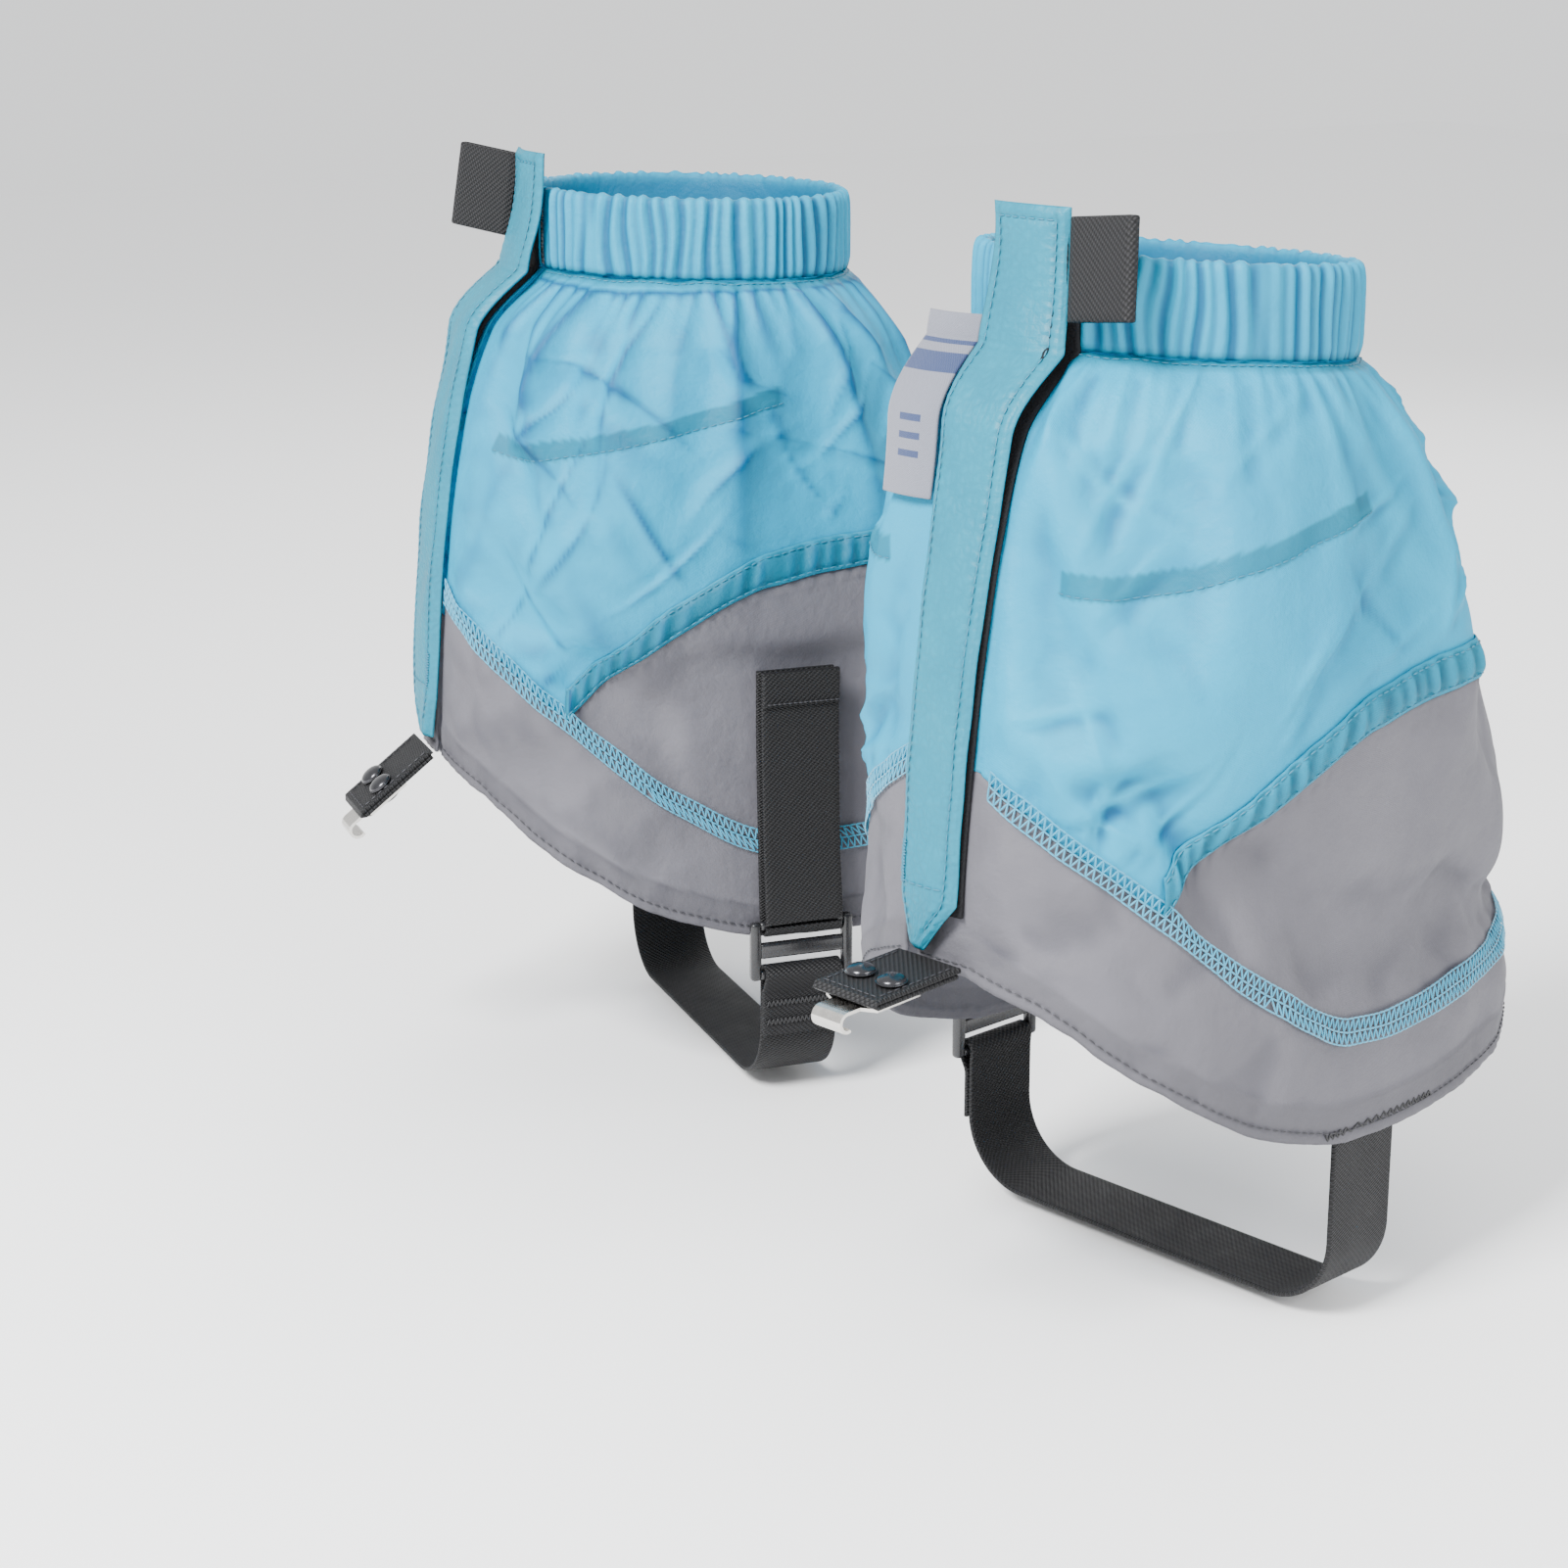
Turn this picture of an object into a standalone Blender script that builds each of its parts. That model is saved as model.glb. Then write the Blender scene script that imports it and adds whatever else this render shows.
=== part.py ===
"""A pair of low hiking gaiters, standing as they sit on a pair of boots (the boots are left out).

Each gaiter is a leg tube of thin nylon with an elastic cuff, an elastic arc over the heel and a grey
skirt, closed in front by a hook-and-loop flap that ends in a riveted lace hook, and held down by an
instep strap with a ladder slider. Units are metres and degrees. +Z is up, the toes point to -Y and
+X is the wearer's left. Every gaiter is described as the left one and mirrored for the right.
"""
import bpy
import bmesh
import math
from mathutils import Matrix, Vector

# ---------------------------------------------------------------- stance of the pair
STANCE_WIDTH = 0.220          # between the two leg axes, across
STANCE_STAGGER = 0.015        # how far the left one stands behind the right one
TOE_OUT = 11.3                # each toe points outwards by this angle

# ---------------------------------------------------------------- leg form under the cloth
CUFF_BASE = 0.2515            # height of the seam under the elastic cuff
CUFF_HEIGHT = 0.0235          # elastic casing, bottom to top
CUFF_RADIUS = 0.047           # inside the shell fabric
CUFF_FORWARD = 0.003          # cuff centre, ahead of the leg axis
CUFF_ASIDE = -0.0035          # and towards the other leg, from 0.7 of the height up
CUFF_TILT = {"left": 4.5, "right": 1.5}   # cuff plane, front edge up
TILT_ZONE = 0.060             # height below the cuff over which the tilt fades out
FORM_HEIGHTS = (0.16, 0.34, 0.50, 0.66, 0.815, 0.93)      # shares of CUFF_BASE
FRONT_REACH = (0.0880, 0.0870, 0.0860, 0.0830, 0.0775, 0.0680)
BACK_REACH = (0.1150, 0.1110, 0.1010, 0.0890, 0.0750, 0.0590)
SIDE_REACH = (0.0640, 0.0615, 0.0600, 0.0620, 0.0640, 0.0585)
FRONT_POWER = 2.25            # roundness of the section in front and behind (2 is an ellipse)
BACK_POWER = 2.70

# ---------------------------------------------------------------- seams on the tube
SLIT_OUTER = -4.0             # front edge of the tube's outer half, under the flap
SLIT_INNER = 352.5            # front edge of its inner half, where the flap is sewn on
AROUND = (8.0, 25.0, 50.0, 75.0, 95.0, 120.0, 150.0, 180.0)   # angles of the seam heights below
HEM_HEIGHT = (0.1050, 0.0980, 0.0780, 0.0600, 0.0525, 0.0555, 0.0600, 0.0670)
SEAM_HEIGHT = (0.1570, 0.1450, 0.1240, 0.0965, 0.0815, 0.0850, 0.0885, 0.0915)
ARC_START = 51.0              # angle where the elastic arc leaves the seam above the skirt
ARC_AROUND = (51.0, 74.0, 97.0, 120.0, 180.0)
ARC_RISE = (0.0, 0.0300, 0.0470, 0.0500, 0.0540)          # above the height where it starts
ARC_WIDTH = 0.0100
ARC_ELASTIC_WIDTH = 0.0060
STITCH_START = 11.0           # the cover stitch starts beside the hook tape
SEAM_STITCH_WIDTH = 0.0080    # flat cover stitch
FACING_ANGLES = (21.0, 92.0)  # inner facing strip on each side
FACING_HEIGHT = 0.2020
FACING_RISE = 0.0170          # how much higher it is at the back end
FACING_WIDTH = 0.0050

# ---------------------------------------------------------------- materials' thicknesses and gaps
GAP = 0.0004                  # between pieces that touch on the real object
CLOTH = 0.0010
WEBBING = 0.0014
TAPE = 0.0010                 # hook tape and loop tape
THREAD = 0.0005
ELASTIC = 0.0011
CASING = 0.0008

# ---------------------------------------------------------------- front flap
FLAP_TOP = 0.2860
FLAP_TIP = 0.1100
FLAP_SHOULDER = 0.1230        # height where the pointed end begins
FLAP_TOP_WIDTH = 0.0230
FLAP_LOW_WIDTH = 0.0190
FLAP_TIP_WIDTH = 0.0060
FLAP_TIP_SHIFT = -0.0030      # the point lies towards the sewn edge
FLAP_TOP_SHIFT = -0.0035      # and so does its top, from this height up
FLAP_SHIFT_START = 0.2150
FLAP_MIDDLE = -0.0005         # middle of the flap, across
FLAP_BRIDGE = 0.0060          # how far it stands off the hollow under the cuff
HOOK_TAPE_SHOWS = 0.0020      # beyond the flap's free edge
LOOP_TAPE_WIDTH = 0.0150
PULL_TAB_LENGTH = 0.0190
PULL_TAB_TURN = {"left": 2.0, "right": 46.0}  # forwards from pointing outwards
PULL_TAB_TOP = 0.2840
LABEL_LENGTH = 0.0410
LABEL_WIDTH = 0.0170
LABEL_TOP = 0.2580
LABEL_TURN = -3.0

# ---------------------------------------------------------------- hook tab and lace hook
TAB_HINGE_HEIGHT = 0.1050
TAB_LENGTH = 0.0300
TAB_WIDTH = 0.0220
TAB_SLOPE = {"left": 3.0, "right": 38.0}      # below level at rest
RIVET_SPREAD = 0.0106         # between the two rivets
RIVET_INSET = 0.0185          # from the hinge
RIVET_HEAD = 0.0080
RIVET_SHANK = 0.0030
HOOK_SHEET = 0.0009
HOOK_WIDTH = 0.0180
HOOK_NECK = 0.0100
HOOK_REACH = 0.0060           # past the end of the tab
HOOK_CURL = 0.0028            # radius of the curl that takes the lace

# ---------------------------------------------------------------- straps and slider
STRAP_WIDTH = 0.0250
STRAP_BACK = 0.0095           # middle of the strap, behind the leg axis
STRAP_UNDERSIDE = 0.0040      # height of the strap's lowest face
STRAP_BEND = 0.0190           # radius of its two lower bends
STRAP_TOP = 0.1370            # folded end of the adjuster strap
ANCHOR_IN_HEM = 0.0150        # how far the outer end runs up inside the hem
SLIDER_CENTRE = 0.0500
SLIDER_BAR = 0.0028           # upper and lower bars
SLIDER_MIDDLE_BAR = 0.0050
SLIDER_SLOT = 0.0040
SLIDER_SIDE = 0.0036
SLIDER_THICKNESS = 0.0026
SLIDER_SIDE_EXTRA = 0.0006    # clearance beside the webbing
TAIL_ROOT = 0.0012            # the tail starts this far above its fold line
TACK_HEIGHT = 0.0020

AXIS_OUT = 0.0010             # the flap turns this far outside its sewn edge
AXIS_AHEAD = 0.0012           # and this far in front of it
AXIS_HEIGHTS = (0.160, 0.215) # where the straight axis meets the curved seam
SEGMENTS = 46                 # steps around the tube

for old in list(bpy.data.objects):
    bpy.data.objects.remove(old, do_unlink=True)


# ---------------------------------------------------------------- small geometry helpers
def through(xs, ys, x):
    """Smooth curve through a few points (cubic, with slopes from the neighbours)."""
    if x <= xs[0]:
        return ys[0]
    if x >= xs[-1]:
        return ys[-1]
    k = max(i for i in range(len(xs) - 1) if xs[i] <= x)
    slopes = [(b - a) / (q - p) for a, b, p, q in zip(ys, ys[1:], xs, xs[1:])]

    def slope(i):
        if i == 0 or i == len(xs) - 1:
            return slopes[min(i, len(slopes) - 1)]
        if slopes[i - 1] * slopes[i] <= 0:
            return 0.0
        return 2 * slopes[i - 1] * slopes[i] / (slopes[i - 1] + slopes[i])

    step = xs[k + 1] - xs[k]
    t = (x - xs[k]) / step
    return ((2 * t ** 3 - 3 * t ** 2 + 1) * ys[k] + (t ** 3 - 2 * t ** 2 + t) * step * slope(k)
            + (3 * t ** 2 - 2 * t ** 3) * ys[k + 1] + (t ** 3 - t ** 2) * step * slope(k + 1))


def spaced(start, end, count):
    """Evenly spaced values from start to end."""
    return [start + (end - start) * i / (count - 1) for i in range(count)]


def reach(height, values, at_cuff):
    heights = [share * CUFF_BASE for share in FORM_HEIGHTS] + [CUFF_BASE]
    return through(heights, list(values) + [at_cuff], height)


def outline(angle, height):
    """Point of the leg form at an angle from the front; it is the inner face of the cloth."""
    front = reach(height, FRONT_REACH, CUFF_RADIUS + CUFF_FORWARD)
    back = reach(height, BACK_REACH, CUFF_RADIUS - CUFF_FORWARD)
    side = reach(height, SIDE_REACH, CUFF_RADIUS)
    rise = min(1.0, max(0.0, (height / CUFF_BASE - FORM_HEIGHTS[-1]) / (1 - FORM_HEIGHTS[-1])))
    c, s = math.cos(math.radians(angle)), math.sin(math.radians(angle))
    power = FRONT_POWER if c > 0 else BACK_POWER
    power += (2.0 - power) * rise
    x = side * math.copysign(abs(s) ** (2 / power), s)
    y = -front * abs(c) ** (2 / power) if c > 0 else back * abs(c) ** (2 / power)
    aside = min(1.0, max(0.0, (height / CUFF_BASE - 0.7) / 0.3))
    return Vector((x + CUFF_ASIDE * aside, y, height))


def skin(side, angle, height, out=0.0):
    """Point on the leg form, moved outwards by a distance, with the cuff's tilt."""
    p = outline(angle, height)
    ahead, behind = outline(angle + 2, height), outline(angle - 2, height)
    along = ahead - behind
    normal = Vector((along.y, -along.x, 0)).normalized()
    if normal.dot(Vector((p.x, p.y, 0))) < 0:
        normal.negate()
    p = p + normal * out
    fade = min(1.0, max(0.0, 1 - (CUFF_BASE - height) / TILT_ZONE))
    p.z -= p.y * math.tan(math.radians(CUFF_TILT[side])) * fade
    return p


def hem(angle):
    return through(AROUND, HEM_HEIGHT, fold(angle))


def seam(angle):
    return through(AROUND, SEAM_HEIGHT, fold(angle))


def fold(angle):
    """Both halves of a gaiter use the same heights: 0 in front, 180 behind."""
    return abs((angle + 180) % 360 - 180)


def arc(angle):
    """Lower edge of the elastic arc."""
    base = through(AROUND, SEAM_HEIGHT, ARC_START)
    return base + through(ARC_AROUND, ARC_RISE, fold(angle))


def angle_at(x, height):
    """Angle at which the leg form's front has a given place across."""
    low, high = -80.0, 80.0
    for _ in range(40):
        middle = (low + high) / 2
        if outline(middle, height).x < x:
            low = middle
        else:
            high = middle
    return low


# ---------------------------------------------------------------- making objects
def material(name, colour, roughness, metallic=0.0):
    mat = bpy.data.materials.new(name)
    mat.use_nodes = True
    shader = mat.node_tree.nodes["Principled BSDF"]
    shader.inputs["Base Color"].default_value = (*colour, 1.0)
    shader.inputs["Roughness"].default_value = roughness
    shader.inputs["Metallic"].default_value = metallic
    mat.diffuse_color = (*colour, 1.0)
    return mat


FINISHES = {
    "sky_nylon": ((0.13, 0.62, 0.80), 0.42, 0.0),
    "flap_nylon": ((0.09, 0.48, 0.66), 0.50, 0.0),
    "grey_nylon": ((0.20, 0.20, 0.225), 0.62, 0.0),
    "cyan_thread": ((0.05, 0.50, 0.72), 0.60, 0.0),
    "black_webbing": ((0.018, 0.018, 0.020), 0.70, 0.0),
    "hook_and_loop": ((0.010, 0.010, 0.012), 0.85, 0.0),
    "white_elastic": ((0.70, 0.70, 0.70), 0.80, 0.0),
    "woven_label": ((0.36, 0.38, 0.43), 0.70, 0.0),
    "black_plastic": ((0.015, 0.015, 0.017), 0.28, 0.0),
    "gunmetal": ((0.10, 0.10, 0.11), 0.30, 1.0),
    "nickel": ((0.62, 0.60, 0.57), 0.28, 1.0),
}


def empty(name, location, parent=None, turn=None, flip=False):
    """Joint or stance frame; flip mirrors its place and its turn across X."""
    mirror = Matrix.Diagonal((-1, 1, 1) if flip else (1, 1, 1))
    pivot = bpy.data.objects.new(name, None)
    bpy.context.collection.objects.link(pivot)
    pivot.location = mirror @ Vector(location)
    if turn:
        pivot.rotation_euler = (mirror @ turn @ mirror).to_euler()
    pivot.parent = parent
    pivot.empty_display_size = 0.01
    return pivot


def solid(name, points, faces, finish, parent, origin=(0, 0, 0), flip=False):
    """Closed mesh object from points in its parent's frame; flip mirrors it across X."""
    origin = Vector(origin)
    mirror = Vector((-1, 1, 1)) if flip else Vector((1, 1, 1))
    mesh = bpy.data.meshes.new(name)
    mesh.from_pydata([tuple((Vector(p) - origin) * mirror) for p in points], [], faces)
    bm = bmesh.new()
    bm.from_mesh(mesh)
    bmesh.ops.recalc_face_normals(bm, faces=bm.faces)
    bm.to_mesh(mesh)
    bm.free()
    mesh.materials.append(bpy.data.materials.get(finish) or material(finish, *FINISHES[finish]))
    mesh.shade_smooth()
    mesh.set_sharp_from_angle(angle=math.radians(35))
    obj = bpy.data.objects.new(name, mesh)
    bpy.context.collection.objects.link(obj)
    obj.parent = parent
    obj.location = origin * mirror
    return obj


def sheet(outer, inner):
    """Closed solid between two grids of points of the same size."""
    rows, columns = len(outer), len(outer[0])
    points = [p for row in outer for p in row] + [p for row in inner for p in row]
    half = rows * columns

    def at(i, j, side):
        return side * half + i * columns + j

    faces = []
    for i in range(rows - 1):
        for j in range(columns - 1):
            for side in (0, 1):
                faces.append((at(i, j, side), at(i + 1, j, side), at(i + 1, j + 1, side),
                              at(i, j + 1, side)))
    for i in range(rows - 1):
        for j in (0, columns - 1):
            faces.append((at(i, j, 0), at(i + 1, j, 0), at(i + 1, j, 1), at(i, j, 1)))
    for j in range(columns - 1):
        for i in (0, rows - 1):
            faces.append((at(i, j, 0), at(i, j + 1, 0), at(i, j + 1, 1), at(i, j, 1)))
    return points, faces


def block(low, high):
    outer = [[Vector((x, y, high[2])) for y in (low[1], high[1])] for x in (low[0], high[0])]
    inner = [[Vector((x, y, low[2])) for y in (low[1], high[1])] for x in (low[0], high[0])]
    return sheet(outer, inner)


def turned(profile, centre, steps=16):
    """Closed solid of revolution about a vertical axis; the profile starts and ends on it."""
    rim = profile[1:-1]
    points = [Vector((centre[0], centre[1], centre[2] + profile[0][1]))]
    for r, z in rim:
        for k in range(steps):
            a = 2 * math.pi * k / steps
            points.append(Vector((centre[0] + r * math.cos(a), centre[1] + r * math.sin(a),
                                  centre[2] + z)))
    points.append(Vector((centre[0], centre[1], centre[2] + profile[-1][1])))
    last = len(points) - 1
    faces = []
    for k in range(steps):
        n = (k + 1) % steps
        faces.append((0, 1 + k, 1 + n))
        faces.append((last, 1 + (len(rim) - 1) * steps + n, 1 + (len(rim) - 1) * steps + k))
        for r in range(len(rim) - 1):
            a = 1 + r * steps
            faces.append((a + k, a + steps + k, a + steps + n, a + n))
    return points, faces


def ribbon(path, across, thickness):
    """Webbing along a path of (point, outward direction); across is its half width vector."""
    outer = [[p - across + n * thickness, p + across + n * thickness] for p, n in path]
    inner = [[p - across, p + across] for p, n in path]
    return sheet(outer, inner)


def cut(target, cutter):
    """Boolean difference with a hidden cutter that shares the target's frame."""
    cutter.hide_render = True
    cutter.display_type = "WIRE"
    mod = target.modifiers.new("cut_" + cutter.name, "BOOLEAN")
    mod.operation = "DIFFERENCE"
    mod.solver = "EXACT"
    mod.object = cutter


# ---------------------------------------------------------------- the gaiter's tube
def band(side, angles, low, high, out, thickness, levels=2):
    """Strip of the tube between two heights, each a function of the angle."""
    outer, inner = [], []
    for a in angles:
        heights = spaced(low(a), high(a), levels)
        outer.append([skin(side, a, h, out + thickness) for h in heights])
        inner.append([skin(side, a, h, out) for h in heights])
    return sheet(outer, inner)


def shell_bottom(angle):
    return seam(angle) if fold(angle) < ARC_START else arc(angle)


def make_tube(side, base, flip):
    around = spaced(SLIT_OUTER, SLIT_INNER, SEGMENTS)
    heel = [a for a in around if ARC_START + 3 < a < 357 - ARC_START]
    heel = [ARC_START + 3] + heel + [357 - ARC_START]
    corner = [ARC_START, 360 - ARC_START]
    shell = sorted(set(around + corner))
    top = CUFF_BASE - GAP

    def add(name, shape, finish):
        solid(f"{side}_{name}", *shape, finish, base, flip=flip)

    add("upper_shell", band(side, shell, lambda a: shell_bottom(a) + GAP / 2, lambda a: top,
                            0, CLOTH, 7), "sky_nylon")
    add("heel_panel", band(side, heel, lambda a: seam(a) + GAP / 2, lambda a: arc(a) - GAP / 2,
                           0, CLOTH, 4), "grey_nylon")
    add("skirt_panel", band(side, around, hem, lambda a: seam(a) - GAP / 2, 0, CLOTH, 4),
        "grey_nylon")
    casing_top = CUFF_BASE + CUFF_HEIGHT
    add("cuff_casing", cuff_casing(side, around, casing_top), "sky_nylon")
    add("cuff_elastic", band(side, around, lambda a: CUFF_BASE + 2 * GAP,
                             lambda a: casing_top - CASING - GAP,
                             CLOTH - CASING - GAP - ELASTIC, ELASTIC), "white_elastic")
    half = SEAM_STITCH_WIDTH / 2
    stitched = [a for a in around if a > STITCH_START]
    add("cover_stitch", band(side, stitched, lambda a: seam(a) - half, lambda a: seam(a) + half,
                             CLOTH + GAP, THREAD), "cyan_thread")
    arc_angles = [a for a in heel if ARC_START + 9 < a < 351 - ARC_START]
    middle = (ARC_WIDTH - ARC_ELASTIC_WIDTH) / 2
    add("heel_elastic", band(side, arc_angles, lambda a: arc(a) + middle,
                             lambda a: arc(a) + ARC_WIDTH - middle, CLOTH + GAP, ELASTIC),
        "white_elastic")
    add("heel_casing", band(side, arc_angles, arc, lambda a: arc(a) + ARC_WIDTH,
                            CLOTH + 2 * GAP + ELASTIC, CASING), "sky_nylon")
    start, end = FACING_ANGLES

    def facing(a):
        return FACING_HEIGHT + FACING_RISE * ((fold(a) - start) / (end - start)) ** 2

    for label, sweep in (("outer", (start, end)), ("inner", (360 - end, 360 - start))):
        angles = [a for a in around if sweep[0] <= a <= sweep[1]]
        add(f"facing_strip_{label}", band(side, angles, facing, lambda a: facing(a) + FACING_WIDTH,
                                          -2 * GAP - CASING, CASING), "sky_nylon")


def cuff_casing(side, around, top):
    """The folded casing of the cuff: an outer wall, an inner wall and the fold over the top."""
    low = CUFF_BASE + GAP
    room = ELASTIC + 2 * GAP
    outer_out, inner_out = CLOTH, CLOTH - 2 * CASING - room
    loop = [(outer_out, low), (outer_out, top), (inner_out, top), (inner_out, low),
            (inner_out + CASING, low), (inner_out + CASING, top - CASING),
            (outer_out - CASING, top - CASING), (outer_out - CASING, low)]
    points = [skin(side, a, h, out) for a in around for out, h in loop]
    count, faces = len(loop), []
    for i in range(len(around) - 1):
        for j in range(count):
            k = (j + 1) % count
            faces.append((i * count + j, (i + 1) * count + j, (i + 1) * count + k, i * count + k))
    for start in (0, (len(around) - 1) * count):
        faces += [tuple(start + v for v in quad) for quad in ((0, 1, 6, 7), (1, 2, 5, 6),
                                                              (2, 3, 4, 5))]
    return points, faces


# ---------------------------------------------------------------- front flap and what it carries
def flap_width(height):
    if height < FLAP_SHOULDER:
        share = (height - FLAP_TIP) / (FLAP_SHOULDER - FLAP_TIP)
        return FLAP_TIP_WIDTH + (FLAP_LOW_WIDTH - FLAP_TIP_WIDTH) * share
    share = (height - FLAP_SHOULDER) / (CUFF_BASE - FLAP_SHOULDER)
    return FLAP_LOW_WIDTH + (FLAP_TOP_WIDTH - FLAP_LOW_WIDTH) * min(1.0, share)


def flap_shift(height):
    low = max(0.0, (FLAP_SHOULDER - height) / (FLAP_SHOULDER - FLAP_TIP))
    high = max(0.0, (height - FLAP_SHIFT_START) / (FLAP_TOP - FLAP_SHIFT_START))
    return FLAP_MIDDLE + FLAP_TIP_SHIFT * low + FLAP_TOP_SHIFT * high


FLAP_OUT = CLOTH + 3 * GAP + 2 * TAPE      # inner face of the flap, above the two tapes
FLAP_ROWS = 31


def flap_point(side, x, height, out):
    """The flap lies over the tube's front and bridges the hollow under the cuff."""
    neck = CUFF_BASE - 0.004
    bridge = FLAP_BRIDGE * math.exp(-((height - neck) / 0.017) ** 2)
    base_height = min(height, CUFF_BASE + CUFF_HEIGHT)
    p = skin(side, angle_at(x, base_height), base_height, FLAP_OUT + bridge + out)
    p.z += height - base_height
    return p


def flap_strip(side, low, high, widths, out, thickness, columns=5):
    rows = [h for h in spaced(FLAP_TIP, FLAP_TOP, FLAP_ROWS) if low - 1e-6 <= h <= high + 1e-6]
    outer, inner = [], []
    for h in rows:
        left, right = widths(h)
        across = spaced(left, right, columns)
        outer.append([flap_point(side, x, h, out + thickness) for x in across])
        inner.append([flap_point(side, x, h, out) for x in across])
    return sheet(outer, inner)


def flap_edges(height):
    return (flap_shift(height) - flap_width(height) / 2, flap_shift(height) + flap_width(height) / 2)


def make_flap(side, base, flip):
    """Hook tape stays on the tube; the flap, its loop tape and its pull tab swing on the seam."""
    outer, inner = [], []
    for h in spaced(hem(0) + 0.008, CUFF_BASE + CUFF_HEIGHT - 0.001, 22):
        xs = spaced(outline(SLIT_OUTER + 1, h).x, flap_edges(h)[1] + HOOK_TAPE_SHOWS, 4)
        outer.append([skin(side, angle_at(x, h), h, CLOTH + GAP + TAPE) for x in xs])
        inner.append([skin(side, angle_at(x, h), h, CLOTH + GAP) for x in xs])
    solid(f"{side}_hook_tape", *sheet(outer, inner), "hook_and_loop", base, flip=flip)

    low, high = (flap_point(side, flap_edges(h)[0], h, 0) for h in AXIS_HEIGHTS)
    pivot = low - Vector((AXIS_OUT, AXIS_AHEAD, 0))
    hinge = empty(f"{side}_flap_hinge", pivot, base, flip=flip)

    def add(name, shape, finish):
        points = [p - pivot for p in shape[0]]
        solid(f"{side}_{name}", points, shape[1], finish, hinge, flip=flip)

    add("front_flap", flap_strip(side, FLAP_TIP, FLAP_TOP, flap_edges, 0, CLOTH), "flap_nylon")

    def loop_edges(h):
        right = flap_edges(h)[1] - 0.0015
        return right - LOOP_TAPE_WIDTH, right

    add("loop_tape", flap_strip(side, FLAP_SHOULDER + 0.008, FLAP_TOP - 0.002, loop_edges,
                                -GAP - TAPE, TAPE), "hook_and_loop")

    def foot_edges(h):
        return flap_edges(h)[1] - 0.010, flap_edges(h)[1]

    add("pull_tab_foot", flap_strip(side, PULL_TAB_TOP - STRAP_WIDTH, PULL_TAB_TOP, foot_edges,
                                    CLOTH + GAP, WEBBING), "black_webbing")
    make_pull_tab(side, hinge, pivot, flip)


def make_pull_tab(side, hinge, pivot, flip):
    """Webbing loop that stands out from the flap's free edge."""
    room, bend = 0.0012, 6
    radius = room / 2 + WEBBING
    low = flap_point(side, flap_edges(PULL_TAB_TOP - STRAP_WIDTH)[1], PULL_TAB_TOP - STRAP_WIDTH, 0)
    high = flap_point(side, flap_edges(PULL_TAB_TOP)[1], PULL_TAB_TOP, 0)
    up = (high - low).normalized()
    turn = math.radians(PULL_TAB_TURN[side])
    across = Vector((math.cos(turn), -math.sin(turn), 0))
    across = (across - up * across.dot(up)).normalized()
    frame = Matrix((across, up.cross(across), up)).transposed()
    edge = (low + high) / 2 + Vector((radius + GAP, 0, 0)) - pivot
    tab_hinge = empty(f"{side}_pull_tab_hinge", edge, hinge, frame, flip)
    path = [(0.0006, radius)]
    for k in range(bend + 1):
        a = math.pi / 2 - math.pi * k / bend
        path.append((PULL_TAB_LENGTH - radius + radius * math.cos(a), radius * math.sin(a)))
    path.append((0.0006, -radius))
    loop_inner = [(0.0006, room / 2)]
    for k in range(bend + 1):
        a = math.pi / 2 - math.pi * k / bend
        loop_inner.append((PULL_TAB_LENGTH - radius + room / 2 * math.cos(a),
                           room / 2 * math.sin(a)))
    loop_inner.append((0.0006, -room / 2))
    half = STRAP_WIDTH / 2
    outer = [[Vector((x, y, -half)), Vector((x, y, half))] for x, y in path]
    inner = [[Vector((x, y, -half)), Vector((x, y, half))] for x, y in loop_inner]
    points, faces = sheet(outer, inner)
    solid(f"{side}_pull_tab", points, faces, "black_webbing", tab_hinge, flip=flip)


def make_label(side, base, flip):
    """Folded woven label, sewn along one edge into the flap's seam."""
    behind = -AXIS_AHEAD - CLOTH
    edge = [flap_point(side, flap_edges(h)[0], h, behind)
            for h in spaced(LABEL_TOP - LABEL_LENGTH, LABEL_TOP, 8)]
    pivot = empty(f"{side}_label_edge", edge[0], base, flip=flip)
    turn = math.radians(LABEL_TURN)
    sideways = Vector((-math.cos(turn), math.sin(turn), 0))
    outwards = Vector((-math.sin(turn), -math.cos(turn), 0))
    outer, inner = [], []
    for p in edge:
        row = [p - edge[0] + sideways * (4 * GAP + LABEL_WIDTH * u) for u in (0.0, 0.5, 1.0)]
        outer.append([q + outwards * CLOTH for q in row])
        inner.append(row)
    solid(f"{side}_woven_label", *sheet(outer, inner), "woven_label", pivot, flip=flip)


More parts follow.
